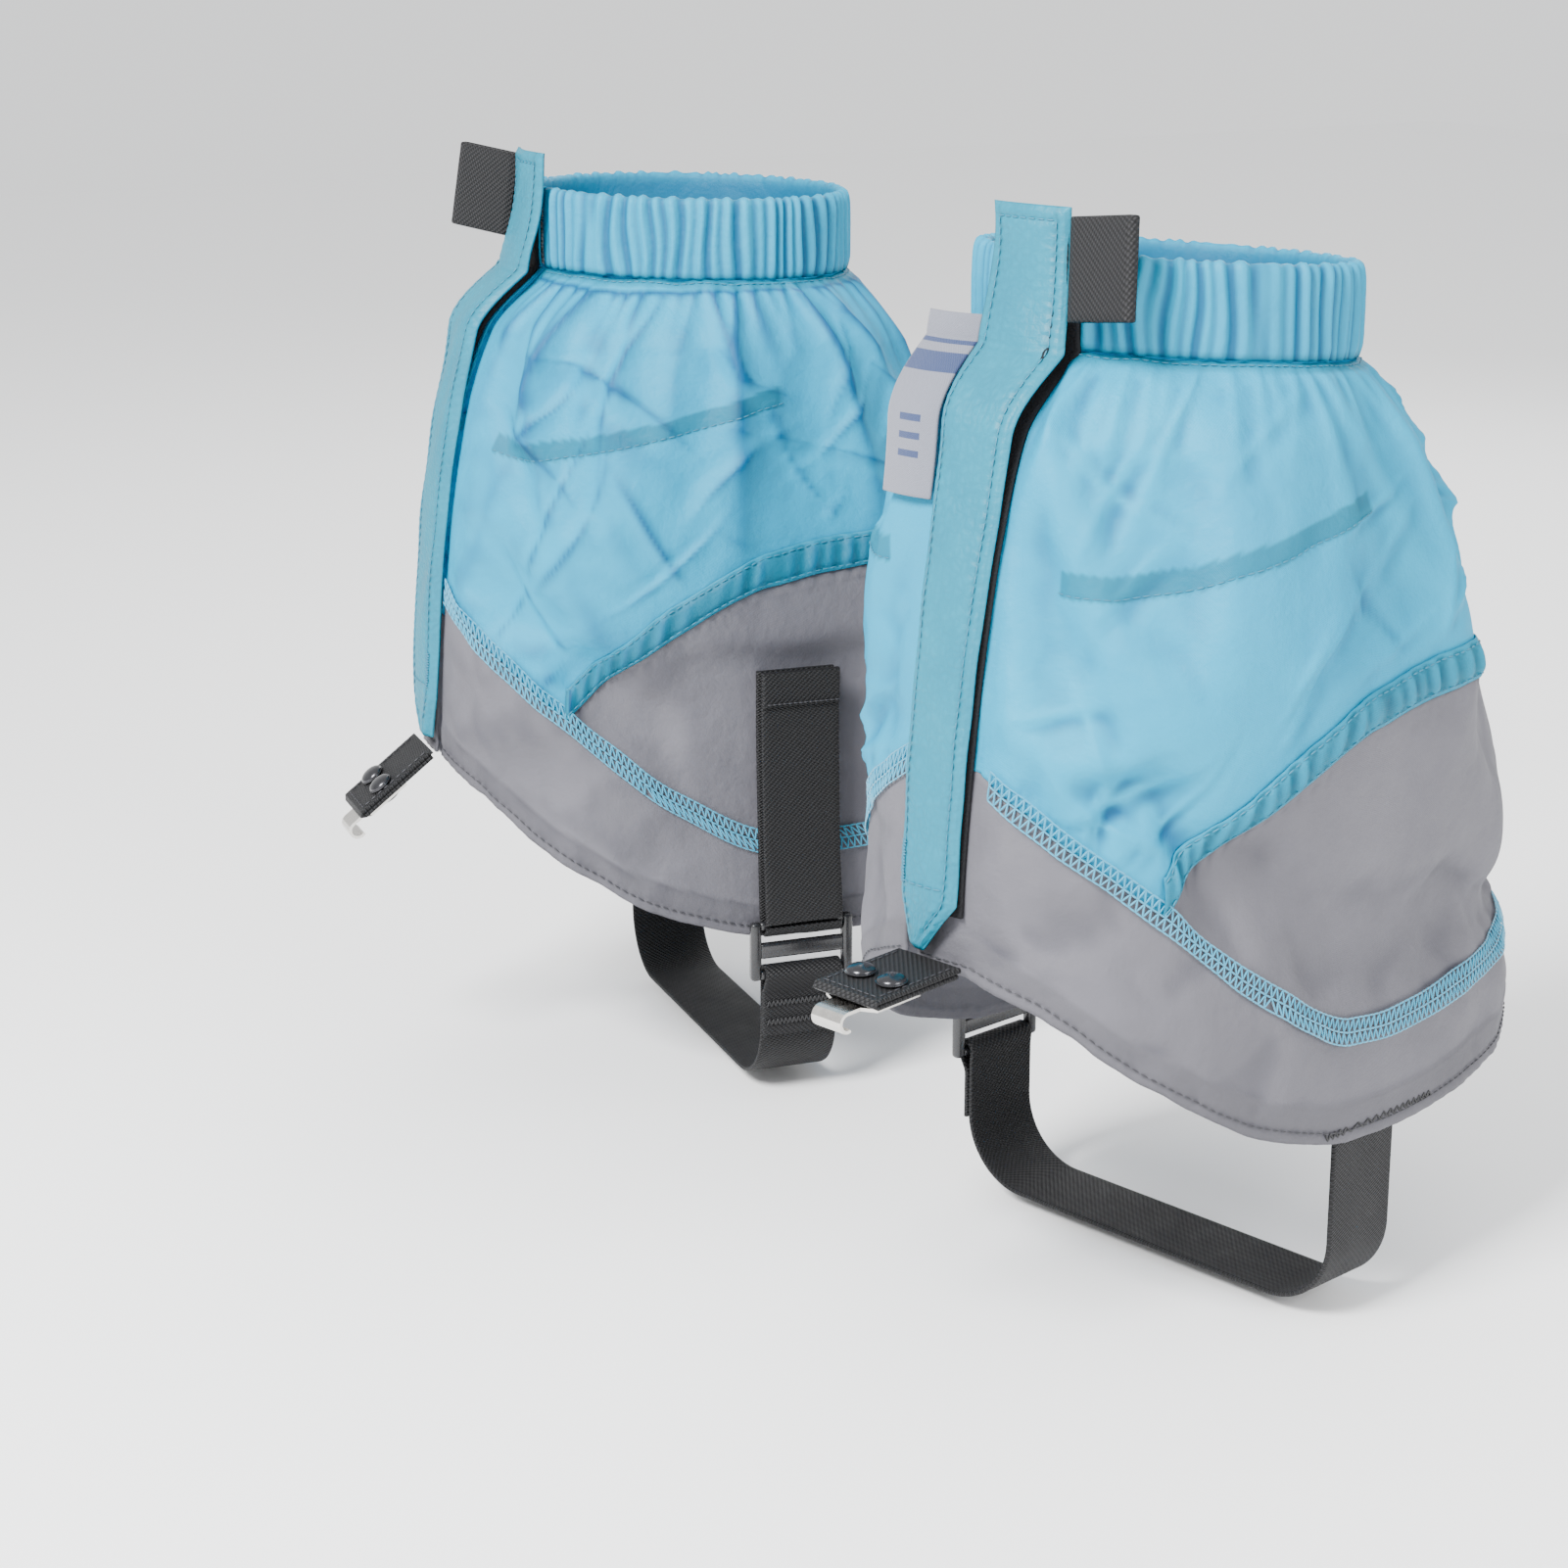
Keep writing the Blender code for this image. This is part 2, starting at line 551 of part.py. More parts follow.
# ---------------------------------------------------------------- hook tab
def make_hook_tab(side, base, flip):
    """Riveted webbing tab under the flap's point, with the sheet-metal hook for the laces."""
    front = skin(side, 0, TAB_HINGE_HEIGHT, CLOTH + 3 * GAP)
    slope = Matrix.Rotation(math.radians(TAB_SLOPE[side]), 3, "X")
    hinge = empty(f"{side}_hook_tab_hinge", front, base, slope, flip)
    half = TAB_WIDTH / 2
    thick = 2 * WEBBING
    start = 0.0002
    profile = [(-start, 0.0), (-start, thick)]
    profile += [(-TAB_LENGTH + thick / 2 - thick / 2 * math.sin(a), thick / 2
                 + thick / 2 * math.cos(a)) for a in (math.pi * k / 6 for k in range(7))]
    outer = [Vector((-half, y, z)) for y, z in profile]
    inner = [Vector((half, y, z)) for y, z in profile]
    points = outer + inner
    count = len(profile)
    faces = [tuple(range(count)), tuple(range(count, 2 * count))]
    faces += [(i, (i + 1) % count, (i + 1) % count + count, i + count) for i in range(count)]
    tab = solid(f"{side}_hook_tab", points, faces, "black_webbing", hinge, flip=flip)

    under = -GAP - HOOK_SHEET
    plate = block((-HOOK_WIDTH / 2, -TAB_LENGTH + 0.004, under),
                  (HOOK_WIDTH / 2, -RIVET_INSET + 0.006, -GAP))
    hook = solid(f"{side}_lace_hook", *hook_shape(under, plate), "nickel", hinge, flip=flip)
    bore = RIVET_SHANK / 2 + GAP
    for number, x in enumerate((-RIVET_SPREAD / 2, RIVET_SPREAD / 2), 1):
        for piece, tag in ((tab, "tab"), (hook, "hook")):
            hole = [(0, -0.004), (bore, -0.004), (bore, 0.006), (0, 0.006)]
            cutter = solid(f"{side}_{tag}_bore_{number}", *turned(hole, (x, -RIVET_INSET, 0), 12),
                           "gunmetal", hinge, flip=flip)
            cut(piece, cutter)
        top = thick + GAP
        shank = RIVET_SHANK / 2
        head = RIVET_HEAD / 2
        dome = [(head * math.cos(a), top + 0.0004 + 0.0016 * math.sin(a))
                for a in (math.pi / 2 * k / 5 for k in range(5))]
        foot = under - GAP
        rivet = [(0, foot - 0.0006), (head * 0.8, foot - 0.0006), (head * 0.8, foot), (shank, foot),
                 (shank, top), (head, top), *dome, (0, top + 0.0020)]
        solid(f"{side}_rivet_{number}", *turned(rivet, (x, -RIVET_INSET, 0), 14), "gunmetal",
              hinge, flip=flip)


def hook_shape(under, plate):
    """Sheet-metal hook: a base plate with a narrower neck that curls down and back."""
    neck = HOOK_NECK / 2
    wide = HOOK_WIDTH / 2
    line = [(-RIVET_INSET + 0.006, wide), (-TAB_LENGTH + 0.003, wide), (-TAB_LENGTH + 0.001, neck),
            (-TAB_LENGTH - HOOK_REACH + HOOK_CURL, neck)]
    top = [(y, under + HOOK_SHEET, w) for y, w in line]
    low = [(y, under, w) for y, w in line]
    centre_y, centre_z = line[-1][0], under - HOOK_CURL + HOOK_SHEET
    for k in range(1, 9):
        a = math.radians(90 + 25 * k)
        for ring, radius in ((top, HOOK_CURL), (low, HOOK_CURL - HOOK_SHEET)):
            ring.append((centre_y + radius * math.cos(a), centre_z + radius * math.sin(a), neck))
    outer = [[Vector((-w, y, z)), Vector((w, y, z))] for y, z, w in top]
    inner = [[Vector((-w, y, z)), Vector((w, y, z))] for y, z, w in low]
    return sheet(outer, inner)


# ---------------------------------------------------------------- straps and slider
STACK = CLOTH + THREAD + 2 * GAP             # inner face of the strap that lies on the skirt
SLIDER_OUT = STACK + WEBBING + GAP           # inner face of the slider
BAR_RADIUS = math.hypot(SLIDER_THICKNESS, SLIDER_BAR) / 2 + 0.0001    # webbing round a bar
BAR_OUT = SLIDER_OUT + SLIDER_THICKNESS / 2  # middle of the bars
GRIP_OUT = SLIDER_OUT + 2 * TAPE + 2 * GAP   # inner face of the tail where its tape grips


def upper_bar():
    return SLIDER_CENTRE + SLIDER_MIDDLE_BAR / 2 + SLIDER_SLOT + SLIDER_BAR / 2


def lower_bar():
    return 2 * SLIDER_CENTRE - upper_bar()


def side_x(height):
    """Outer face of the leg form at the straps, as a distance from the leg axis."""
    return abs(outline(90, max(height, FORM_HEIGHTS[0] * CUFF_BASE)).x)


def make_straps(side, base, flip):
    across = Vector((0, STRAP_WIDTH / 2, 0))
    middle = Vector((0, STRAP_BACK, 0))
    level = side_x(SLIDER_CENTRE)

    def at(x, z, nx, nz):
        return middle + Vector((x, 0, z)), Vector((nx, 0, nz)).normalized()

    # instep strap: from inside the outer hem, under the boot, round the slider's lower bar
    clear = 2 * GAP + WEBBING
    path = [at(side_x(z) - clear, z, 1, 0) for z in spaced(hem(95) + ANCHOR_IN_HEM, hem(95), 3)]
    inside = side_x(hem(95)) - clear
    bottom = STRAP_UNDERSIDE + WEBBING
    bend = STRAP_BEND
    for k in range(9):
        a = math.radians(90 * k / 8)
        path.append(at(inside - bend + bend * math.cos(a), bottom + bend - bend * math.sin(a),
                       math.cos(a), -math.sin(a)))
    inner_leg = -(level + STACK)
    for k in range(9):
        a = math.radians(90 * k / 8)
        path.append(at(inner_leg + bend - bend * math.sin(a), bottom + bend - bend * math.cos(a),
                       -math.sin(a), -math.cos(a)))
    points, faces = strap_with_loop(path, across, middle, inner_leg)
    solid(f"{side}_instep_strap", points, faces, "black_webbing", base, flip=flip)

    # slider: a plate with two slots
    half_y = STRAP_WIDTH / 2 + SLIDER_SIDE_EXTRA + SLIDER_SIDE
    half_z = upper_bar() + SLIDER_BAR / 2 - SLIDER_CENTRE
    x_in, x_out = -(level + SLIDER_OUT), -(level + SLIDER_OUT + SLIDER_THICKNESS)
    plate = block((x_out, STRAP_BACK - half_y, SLIDER_CENTRE - half_z),
                  (x_in, STRAP_BACK + half_y, SLIDER_CENTRE + half_z))
    slider = solid(f"{side}_slider", *plate, "black_plastic", base, flip=flip)
    for tag, low in (("upper", SLIDER_CENTRE + SLIDER_MIDDLE_BAR / 2),
                     ("lower", SLIDER_CENTRE - SLIDER_MIDDLE_BAR / 2 - SLIDER_SLOT)):
        slot = block((x_out - 0.002, STRAP_BACK - half_y + SLIDER_SIDE, low),
                     (x_in + 0.002, STRAP_BACK + half_y - SLIDER_SIDE, low + SLIDER_SLOT))
        cut(slider, solid(f"{side}_slot_{tag}", *slot, "black_plastic", base, flip=flip))
    bevel = slider.modifiers.new("soft_edges", "BEVEL")
    bevel.width = 0.0005
    bevel.segments = 1
    bevel.limit_method = "ANGLE"

    # adjuster strap: down the skirt, round the upper bar and a little way up in front
    legs = []
    for z in spaced(STRAP_TOP - 0.001, upper_bar(), 9):
        legs.append((middle + Vector((-(side_x(z) + STACK + WEBBING), 0, z)), Vector((1, 0, 0))))
    legs += around_bar(level, upper_bar(), -1, middle)
    solid(f"{side}_adjuster_strap", *ribbon(legs, across, WEBBING), "black_webbing", base,
          flip=flip)
    tape_low = upper_bar() + SLIDER_BAR / 2 + 0.002
    tape = [(middle + Vector((-(side_x(z) + SLIDER_OUT), 0, z)), Vector((-1, 0, 0)))
            for z in spaced(tape_low, STRAP_TOP - 0.004, 7)]
    narrow = across * 0.9
    solid(f"{side}_strap_loop_tape", *ribbon(tape, narrow, TAPE), "hook_and_loop", base, flip=flip)

    # the tail folds up on the bar and grips the strap by its hook tape
    pivot = middle + Vector((-(level + BAR_OUT + BAR_RADIUS + WEBBING / 2), 0, upper_bar()))
    hinge = empty(f"{side}_strap_tail_hinge", pivot, base, flip=flip)

    def lying(z, out):
        share = min(1.0, max(0.0, (z - upper_bar() - 0.004) / 0.016))
        bar_side = level + BAR_OUT + BAR_RADIUS
        x = bar_side + (side_x(z) + GRIP_OUT - bar_side) * share
        return middle + Vector((-(x + out), 0, z)) - pivot, Vector((-1, 0, 0))

    tail = [lying(z, 0) for z in spaced(upper_bar() + TAIL_ROOT, STRAP_TOP, 13)]
    solid(f"{side}_strap_tail", *ribbon(tail, across, WEBBING), "black_webbing", hinge, flip=flip)
    hooks = [lying(z, -GAP - TAPE) for z in spaced(tape_low + 0.030, STRAP_TOP - 0.004, 5)]
    solid(f"{side}_strap_hook_tape", *ribbon(hooks, narrow, TAPE), "hook_and_loop", hinge,
          flip=flip)
    make_tacks(side, base, level, flip)


def around_bar(level, bar_height, turn, middle, steps=8):
    """Path of webbing round a slider bar, from behind it to in front of it."""
    centre, radius = -(level + BAR_OUT), BAR_RADIUS
    path = []
    for k in range(steps + 1):
        a = math.pi * k / steps
        x, z = radius * math.cos(a), turn * radius * math.sin(a)
        path.append((middle + Vector((centre + x, 0, bar_height + z)), Vector((x, 0, z)).normalized()))
    path[0] = (path[0][0], Vector((1, 0, 0)))
    path[-1] = (path[-1][0], Vector((-1, 0, 0)))
    return path


def strap_with_loop(path, across, middle, inner_leg):
    """The instep strap; its inner end runs over the lower bar and back down its own outside."""
    level = -inner_leg - STACK
    bar = lower_bar()
    loop = around_bar(level, bar, 1, middle)
    low = bar - 0.020
    first = [(p, n) for p, n in path]
    inner, outer = [], []
    for p, n in first:
        inner.append(p)
        outer.append(p + n * WEBBING)
    rise = spaced(STRAP_UNDERSIDE + WEBBING + STRAP_BEND + 0.004, bar, 3)
    for z in rise[:-1]:
        inner.append(middle + Vector((inner_leg, 0, z)))
        outer.append(middle + Vector((inner_leg - WEBBING, 0, z)))
    for p, n in loop:                       # the face that ran outside now faces the bar
        inner.append(p + n * WEBBING)
        outer.append(p)
    edge = loop[-1][0] - Vector((0, 0, SLIDER_BAR / 2 + GAP))
    inner.append(edge - Vector((WEBBING, 0, 0)))
    outer.append(edge)
    folded = inner_leg - WEBBING - GAP
    for z in spaced(bar - 0.007, low, 3):
        inner.append(middle + Vector((folded - WEBBING, 0, z)))
        outer.append(middle + Vector((folded, 0, z)))
    grid = [[[p - across, p + across] for p in rail] for rail in (outer, inner)]
    return sheet(*grid)


def make_tacks(side, base, level, flip):
    """Bar tacks: at the outer hem over the strap's end, and across the folded inner end."""
    half = STRAP_WIDTH / 2 - 0.001
    height = hem(95) + 0.003
    x = abs(outline(93, height).x) + CLOTH + GAP
    outer = block((x, STRAP_BACK - half, height), (x + THREAD, STRAP_BACK + half,
                                                   height + TACK_HEIGHT))
    solid(f"{side}_hem_bar_tack", *outer, "black_webbing", base, flip=flip)
    fold_x = -(level + STACK + 2 * WEBBING + 2 * GAP)
    for label, z in (("upper", lower_bar() - 0.0105), ("lower", lower_bar() - 0.0165)):
        row = block((fold_x - THREAD, STRAP_BACK - half, z),
                    (fold_x, STRAP_BACK + half, z + TACK_HEIGHT))
        solid(f"{side}_{label}_bar_tack", *row, "black_webbing", base, flip=flip)


# ---------------------------------------------------------------- build the pair
for side, sign in (("left", 1), ("right", -1)):
    stance = empty(f"{side}_stance", (sign * STANCE_WIDTH / 2, sign * STANCE_STAGGER / 2, 0),
                   turn=Matrix.Rotation(math.radians(sign * TOE_OUT), 3, "Z"))
    mirrored = sign < 0
    make_tube(side, stance, mirrored)
    make_flap(side, stance, mirrored)
    if side == "left":
        make_label(side, stance, mirrored)
    make_hook_tab(side, stance, mirrored)
    make_straps(side, stance, mirrored)

bpy.context.view_layer.update()
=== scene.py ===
import bpy
import bmesh
import math
import numpy as np
from mathutils import Matrix, Vector


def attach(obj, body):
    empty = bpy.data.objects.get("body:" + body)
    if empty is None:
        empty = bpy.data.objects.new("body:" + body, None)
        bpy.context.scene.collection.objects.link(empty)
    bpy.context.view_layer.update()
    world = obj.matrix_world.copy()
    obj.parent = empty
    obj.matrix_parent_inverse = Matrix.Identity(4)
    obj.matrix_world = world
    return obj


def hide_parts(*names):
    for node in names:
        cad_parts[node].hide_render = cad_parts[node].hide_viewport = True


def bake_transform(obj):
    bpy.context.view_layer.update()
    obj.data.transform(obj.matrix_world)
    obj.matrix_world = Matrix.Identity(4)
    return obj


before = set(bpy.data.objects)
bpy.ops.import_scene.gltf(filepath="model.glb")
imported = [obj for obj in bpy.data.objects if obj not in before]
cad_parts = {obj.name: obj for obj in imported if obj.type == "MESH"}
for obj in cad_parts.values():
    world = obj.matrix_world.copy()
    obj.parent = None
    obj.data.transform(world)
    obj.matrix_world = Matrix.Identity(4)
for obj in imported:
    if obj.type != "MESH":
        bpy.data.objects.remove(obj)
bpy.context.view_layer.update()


# ------------------------------------------------------------------ camera, lights and floor
# A pale studio floor with three soft lamps. The camera stands on the left gaiter's outer side and
# looks down by 15.9 degrees, far enough away that the two gaiters keep their proportions.
CAMERA_DOWN, CAMERA_TURN, CAMERA_LENS = 15.9, 58.2, 73.2
bpy.ops.object.select_all(action="DESELECT")
bpy.ops.object.camera_add(location=(0.7450, -0.5050, 0.3660),
                          rotation=(math.radians(90 - CAMERA_DOWN), 0, math.radians(CAMERA_TURN)))
camera = bpy.context.object
camera.data.lens = CAMERA_LENS
camera.data.sensor_width = 36
bpy.context.scene.camera = camera

bpy.ops.mesh.primitive_plane_add(size=6, location=(0, 0, 0))
floor = bpy.context.object
floor.name = "studio_floor"
floor_finish = bpy.data.materials.new("studio_floor")
floor_finish.use_nodes = True
paint = floor_finish.node_tree.nodes["Principled BSDF"].inputs
paint["Base Color"].default_value = (0.95, 0.95, 0.95, 1)
paint["Roughness"].default_value = 0.9
floor.data.materials.append(floor_finish)

world = bpy.data.worlds.new("studio")
bpy.context.scene.world = world
world.use_nodes = True
sky_light = world.node_tree.nodes["Background"].inputs
sky_light["Color"].default_value = (0.98, 0.99, 1.0, 1)
sky_light["Strength"].default_value = 1.25

for lamp, place, watts, size in (("key", (0.35, -0.95, 1.05), 48, 0.45),
                                 ("side", (1.25, 0.25, 0.75), 12, 0.6),
                                 ("back", (-0.7, 0.9, 0.9), 8, 0.9)):
    bpy.ops.object.light_add(type="AREA", location=place)
    light = bpy.context.object
    light.name = "lamp_" + lamp
    light.data.energy = watts
    light.data.size = size
    light.rotation_euler = (Vector((0, 0, 0.15)) - Vector(place)).to_track_quat("-Z", "Y").to_euler()


# ------------------------------------------------------------------ the form inside each gaiter
# The cloth hangs over a boot and a lower leg, which are left out. Their form is a column of rounded
# sections; the cuff closes on a circle. The right gaiter is the left one's mirror image.
CUFF_BASE, CUFF_HEIGHT, CUFF_RADIUS, CUFF_FORWARD = 0.2515, 0.0235, 0.047, 0.003
CUFF_ASIDE = -0.0035
CUFF_TILT = {"left": math.radians(4.5), "right": math.radians(1.5)}
FORM_Z = np.array([0.16, 0.34, 0.50, 0.66, 0.815, 0.93, 1.0]) * CUFF_BASE
FRONT = (0.0880, 0.0870, 0.0860, 0.0830, 0.0775, 0.0680, CUFF_RADIUS + CUFF_FORWARD)
BACK = (0.1150, 0.1110, 0.1010, 0.0890, 0.0750, 0.0590, CUFF_RADIUS - CUFF_FORWARD)
SIDE = (0.0640, 0.0615, 0.0600, 0.0620, 0.0640, 0.0585, CUFF_RADIUS)
AROUND = np.array([8.0, 25.0, 50.0, 75.0, 95.0, 120.0, 150.0, 180.0])
HEM = (0.1050, 0.0980, 0.0780, 0.0600, 0.0525, 0.0555, 0.0600, 0.0670)
SEAM = (0.1570, 0.1450, 0.1240, 0.0965, 0.0815, 0.0850, 0.0885, 0.0915)
SLIT = (-4.0, 352.5)
ARC_FROM = 51.0
TOE_OUT, STAND_X, STAND_Y = math.radians(11.3), 0.110, 0.0075


def curve(xs, ys, x):
    """Smooth line through a few points that never overshoots them."""
    xs, ys, x = np.asarray(xs, float), np.asarray(ys, float), np.asarray(x, float)
    step, rise = np.diff(xs), np.diff(ys)
    rate = rise / step
    slope = np.r_[rate[0], np.zeros(len(xs) - 2), rate[-1]]
    same = rate[:-1] * rate[1:] > 0
    slope[1:-1][same] = 2 * rate[:-1][same] * rate[1:][same] / (rate[:-1] + rate[1:])[same]
    inside = np.clip(x, xs[0], xs[-1])
    k = np.clip(np.searchsorted(xs, inside, side="right") - 1, 0, len(xs) - 2)
    t = (inside - xs[k]) / step[k]
    return ((2 * t**3 - 3 * t**2 + 1) * ys[k] + (t**3 - 2 * t**2 + t) * step[k] * slope[k]
            + (3 * t**2 - 2 * t**3) * ys[k + 1] + (t**3 - t**2) * step[k] * slope[k + 1])


def fold(angle):
    return np.abs((np.asarray(angle, float) + 180) % 360 - 180)


def hem_at(angle):
    return curve(AROUND, HEM, fold(angle))


def seam_at(angle):
    return curve(AROUND, SEAM, fold(angle))


def arc_at(angle):
    return seam_at(ARC_FROM) + curve((51.0, 74.0, 97.0, 120.0, 180.0),
                                     (0.0, 0.0300, 0.0470, 0.0500, 0.0540), fold(angle))


def section(angle, height):
    """Half width, front, back and roundness of the form at a height."""
    front, back, side = (curve(FORM_Z, values, height) for values in (FRONT, BACK, SIDE))
    rise = np.clip((height / CUFF_BASE - 0.93) / 0.07, 0, 1)
    ahead = np.cos(np.radians(angle)) > 0
    power = np.where(ahead, 2.25, 2.70)
    return side, np.where(ahead, front, back), power + (2.0 - power) * rise, ahead


def form(angle, height):
    side, depth, power, ahead = section(angle, height)
    c, s = np.cos(np.radians(angle)), np.sin(np.radians(angle))
    x = side * np.sign(s) * np.abs(s) ** (2 / power)
    y = np.where(ahead, -1, 1) * depth * np.abs(c) ** (2 / power)
    x = x + CUFF_ASIDE * np.clip((height / CUFF_BASE - 0.7) / 0.3, 0, 1)
    return np.stack([x, y, height + 0 * x], -1)


def skin(side, angle, height, out=0.0):
    """Points on the form, moved outwards, with the cuff's tilt; the left gaiter's own frame."""
    angle, height = np.broadcast_arrays(np.asarray(angle, float), np.asarray(height, float))
    p = form(angle, height)
    along = form(angle + 2, height) - form(angle - 2, height)
    normal = np.stack([along[..., 1], -along[..., 0], 0 * along[..., 0]], -1)
    normal /= np.linalg.norm(normal, axis=-1, keepdims=True)
    normal *= np.sign(np.sum(normal * p, -1, keepdims=True))
    p = p + normal * np.asarray(out)[..., None]
    fade = np.clip(1 - (CUFF_BASE - height) / 0.060, 0, 1)
    p[..., 2] -= p[..., 1] * np.tan(CUFF_TILT[side]) * fade
    return p


def stand(side, p):
    """From the left gaiter's own frame to the pair's frame."""
    p = np.array(p, float)
    sign = 1.0 if side == "left" else -1.0
    x = p[..., 0] * math.cos(TOE_OUT) - p[..., 1] * math.sin(TOE_OUT) + STAND_X
    y = p[..., 0] * math.sin(TOE_OUT) + p[..., 1] * math.cos(TOE_OUT)
    return np.stack([x * sign, y + sign * STAND_Y, p[..., 2]], -1)


def smooth(low, high, x):
    t = np.clip((np.asarray(x, float) - low) / (high - low), 0, 1)
    return t * t * (3 - 2 * t)


# ------------------------------------------------------------------ how the cloth lies
# Thin nylon gathered by the cuff. A short cloth simulation gives each tube its soft shape; the
# pleats under the elastic and the slanting creases are placed on it by seeded formulas.
def pleats(side, angle, height):
    """Outward lift of the gathers below the cuff; each pleat has its own length and width."""
    rng = np.random.default_rng(11 if side == "left" else 23)
    drop = np.maximum(CUFF_BASE - height, 0)
    lift = np.zeros(np.broadcast(angle, height).shape)
    place = SLIT[0] + 4
    while place < SLIT[1] - 4:
        long = rng.choice([0.014, 0.024, 0.040, 0.075], p=[0.30, 0.30, 0.25, 0.15])
        lean = rng.normal(0, 0.22)
        wide = rng.uniform(1.3, 2.3) * (1 + drop / 0.022)
        centre = place + np.degrees(lean * drop / 0.060)
        tall = rng.uniform(0.0014, 0.0028) * (0.50 + long / 0.050)
        fade = np.exp(-(drop / long) ** 1.5) * smooth(-0.0005, 0.003, drop)
        lift = lift + tall * fade * np.exp(-(np.abs(angle - centre) / wide) ** 1.5)
        place += rng.uniform(3.6, 8.5)
    return lift * smooth(8, 18, fold(angle))


def creases(side, angle, height):
    """Sharp slanting folds where the thin cloth has been pulled about."""
    rng = np.random.default_rng(71 if side == "left" else 83)
    lift = np.zeros(np.broadcast(angle, height).shape)
    for _ in range(120):
        middle_angle = rng.uniform(SLIT[0] + 8, SLIT[1] - 8)
        middle_height = rng.uniform(0.115, 0.243)
        slant = rng.choice([-1, 1]) * rng.uniform(0.25, 1.25)
        long = rng.uniform(0.010, 0.030)
        x = (angle - middle_angle) * 0.00126
        y = height - middle_height
        along = x * math.sin(slant) + y * math.cos(slant)
        bend = rng.uniform(-9, 9)
        off = x * math.cos(slant) - y * math.sin(slant) + bend * along ** 2
        fade = np.exp(-(np.abs(along) / long) ** 2.4)
        sharp = rng.uniform(0.0009, 0.0026)
        ridge = np.exp(-np.abs(off) / sharp) - 0.55 * np.exp(-((off - 2.2 * sharp) / (1.6 * sharp)) ** 2)
        lift = lift + (0.0003 + 0.55 * sharp * rng.uniform(0.6, 1.2)) * fade * ridge
    edge = np.where(fold(angle) < ARC_FROM, seam_at(angle), arc_at(angle) + 0.010)
    keep = smooth(12, 20, fold(angle)) * smooth(0.0, 0.010, CUFF_BASE - height)
    return lift * keep * smooth(0.002, 0.009, height - edge)


def new_grid(name, rows, columns, place, flat):
    """Grid primitive laid out by place(u, v) -> points, with its flat size as its UV map."""
    bpy.ops.object.select_all(action="DESELECT")
    bpy.ops.mesh.primitive_grid_add(x_subdivisions=columns, y_subdivisions=rows, size=2)
    obj = bpy.context.object
    obj.name = obj.data.name = name
    count = len(obj.data.vertices)
    co = np.empty(count * 3)
    obj.data.vertices.foreach_get("co", co)
    co = co.reshape(-1, 3)
    u, v = (co[:, 0] + 1) / 2, (co[:, 1] + 1) / 2
    obj.data.vertices.foreach_set("co", place(u, v).astype(np.float32).ravel())
    corners = np.empty(len(obj.data.loops), int)
    obj.data.loops.foreach_get("vertex_index", corners)
    uv = np.stack([u * flat[0], v * flat[1]], -1)[corners]
    obj.data.uv_layers[0].data.foreach_set("uv", uv.astype(np.float32).ravel())
    obj.data.uv_layers[0].name = "cloth"
    return obj, u, v


def read_points(obj):
    co = np.empty(len(obj.data.vertices) * 3)
    obj.data.vertices.foreach_get("co", co)
    return co.reshape(-1, 3)


def write_points(obj, points):
    obj.data.vertices.foreach_set("co", np.asarray(points, np.float32).ravel())
    obj.data.update()


def only(obj):
    """Makes one object the selected and active one."""
    bpy.ops.object.select_all(action="DESELECT")
    obj.select_set(True)
    bpy.context.view_layer.objects.active = obj


def angle_of(u):
    return SLIT[0] + (SLIT[1] - SLIT[0]) * u


def height_of(u, v):
    low = hem_at(angle_of(u))
    return low + (CUFF_BASE - low) * v


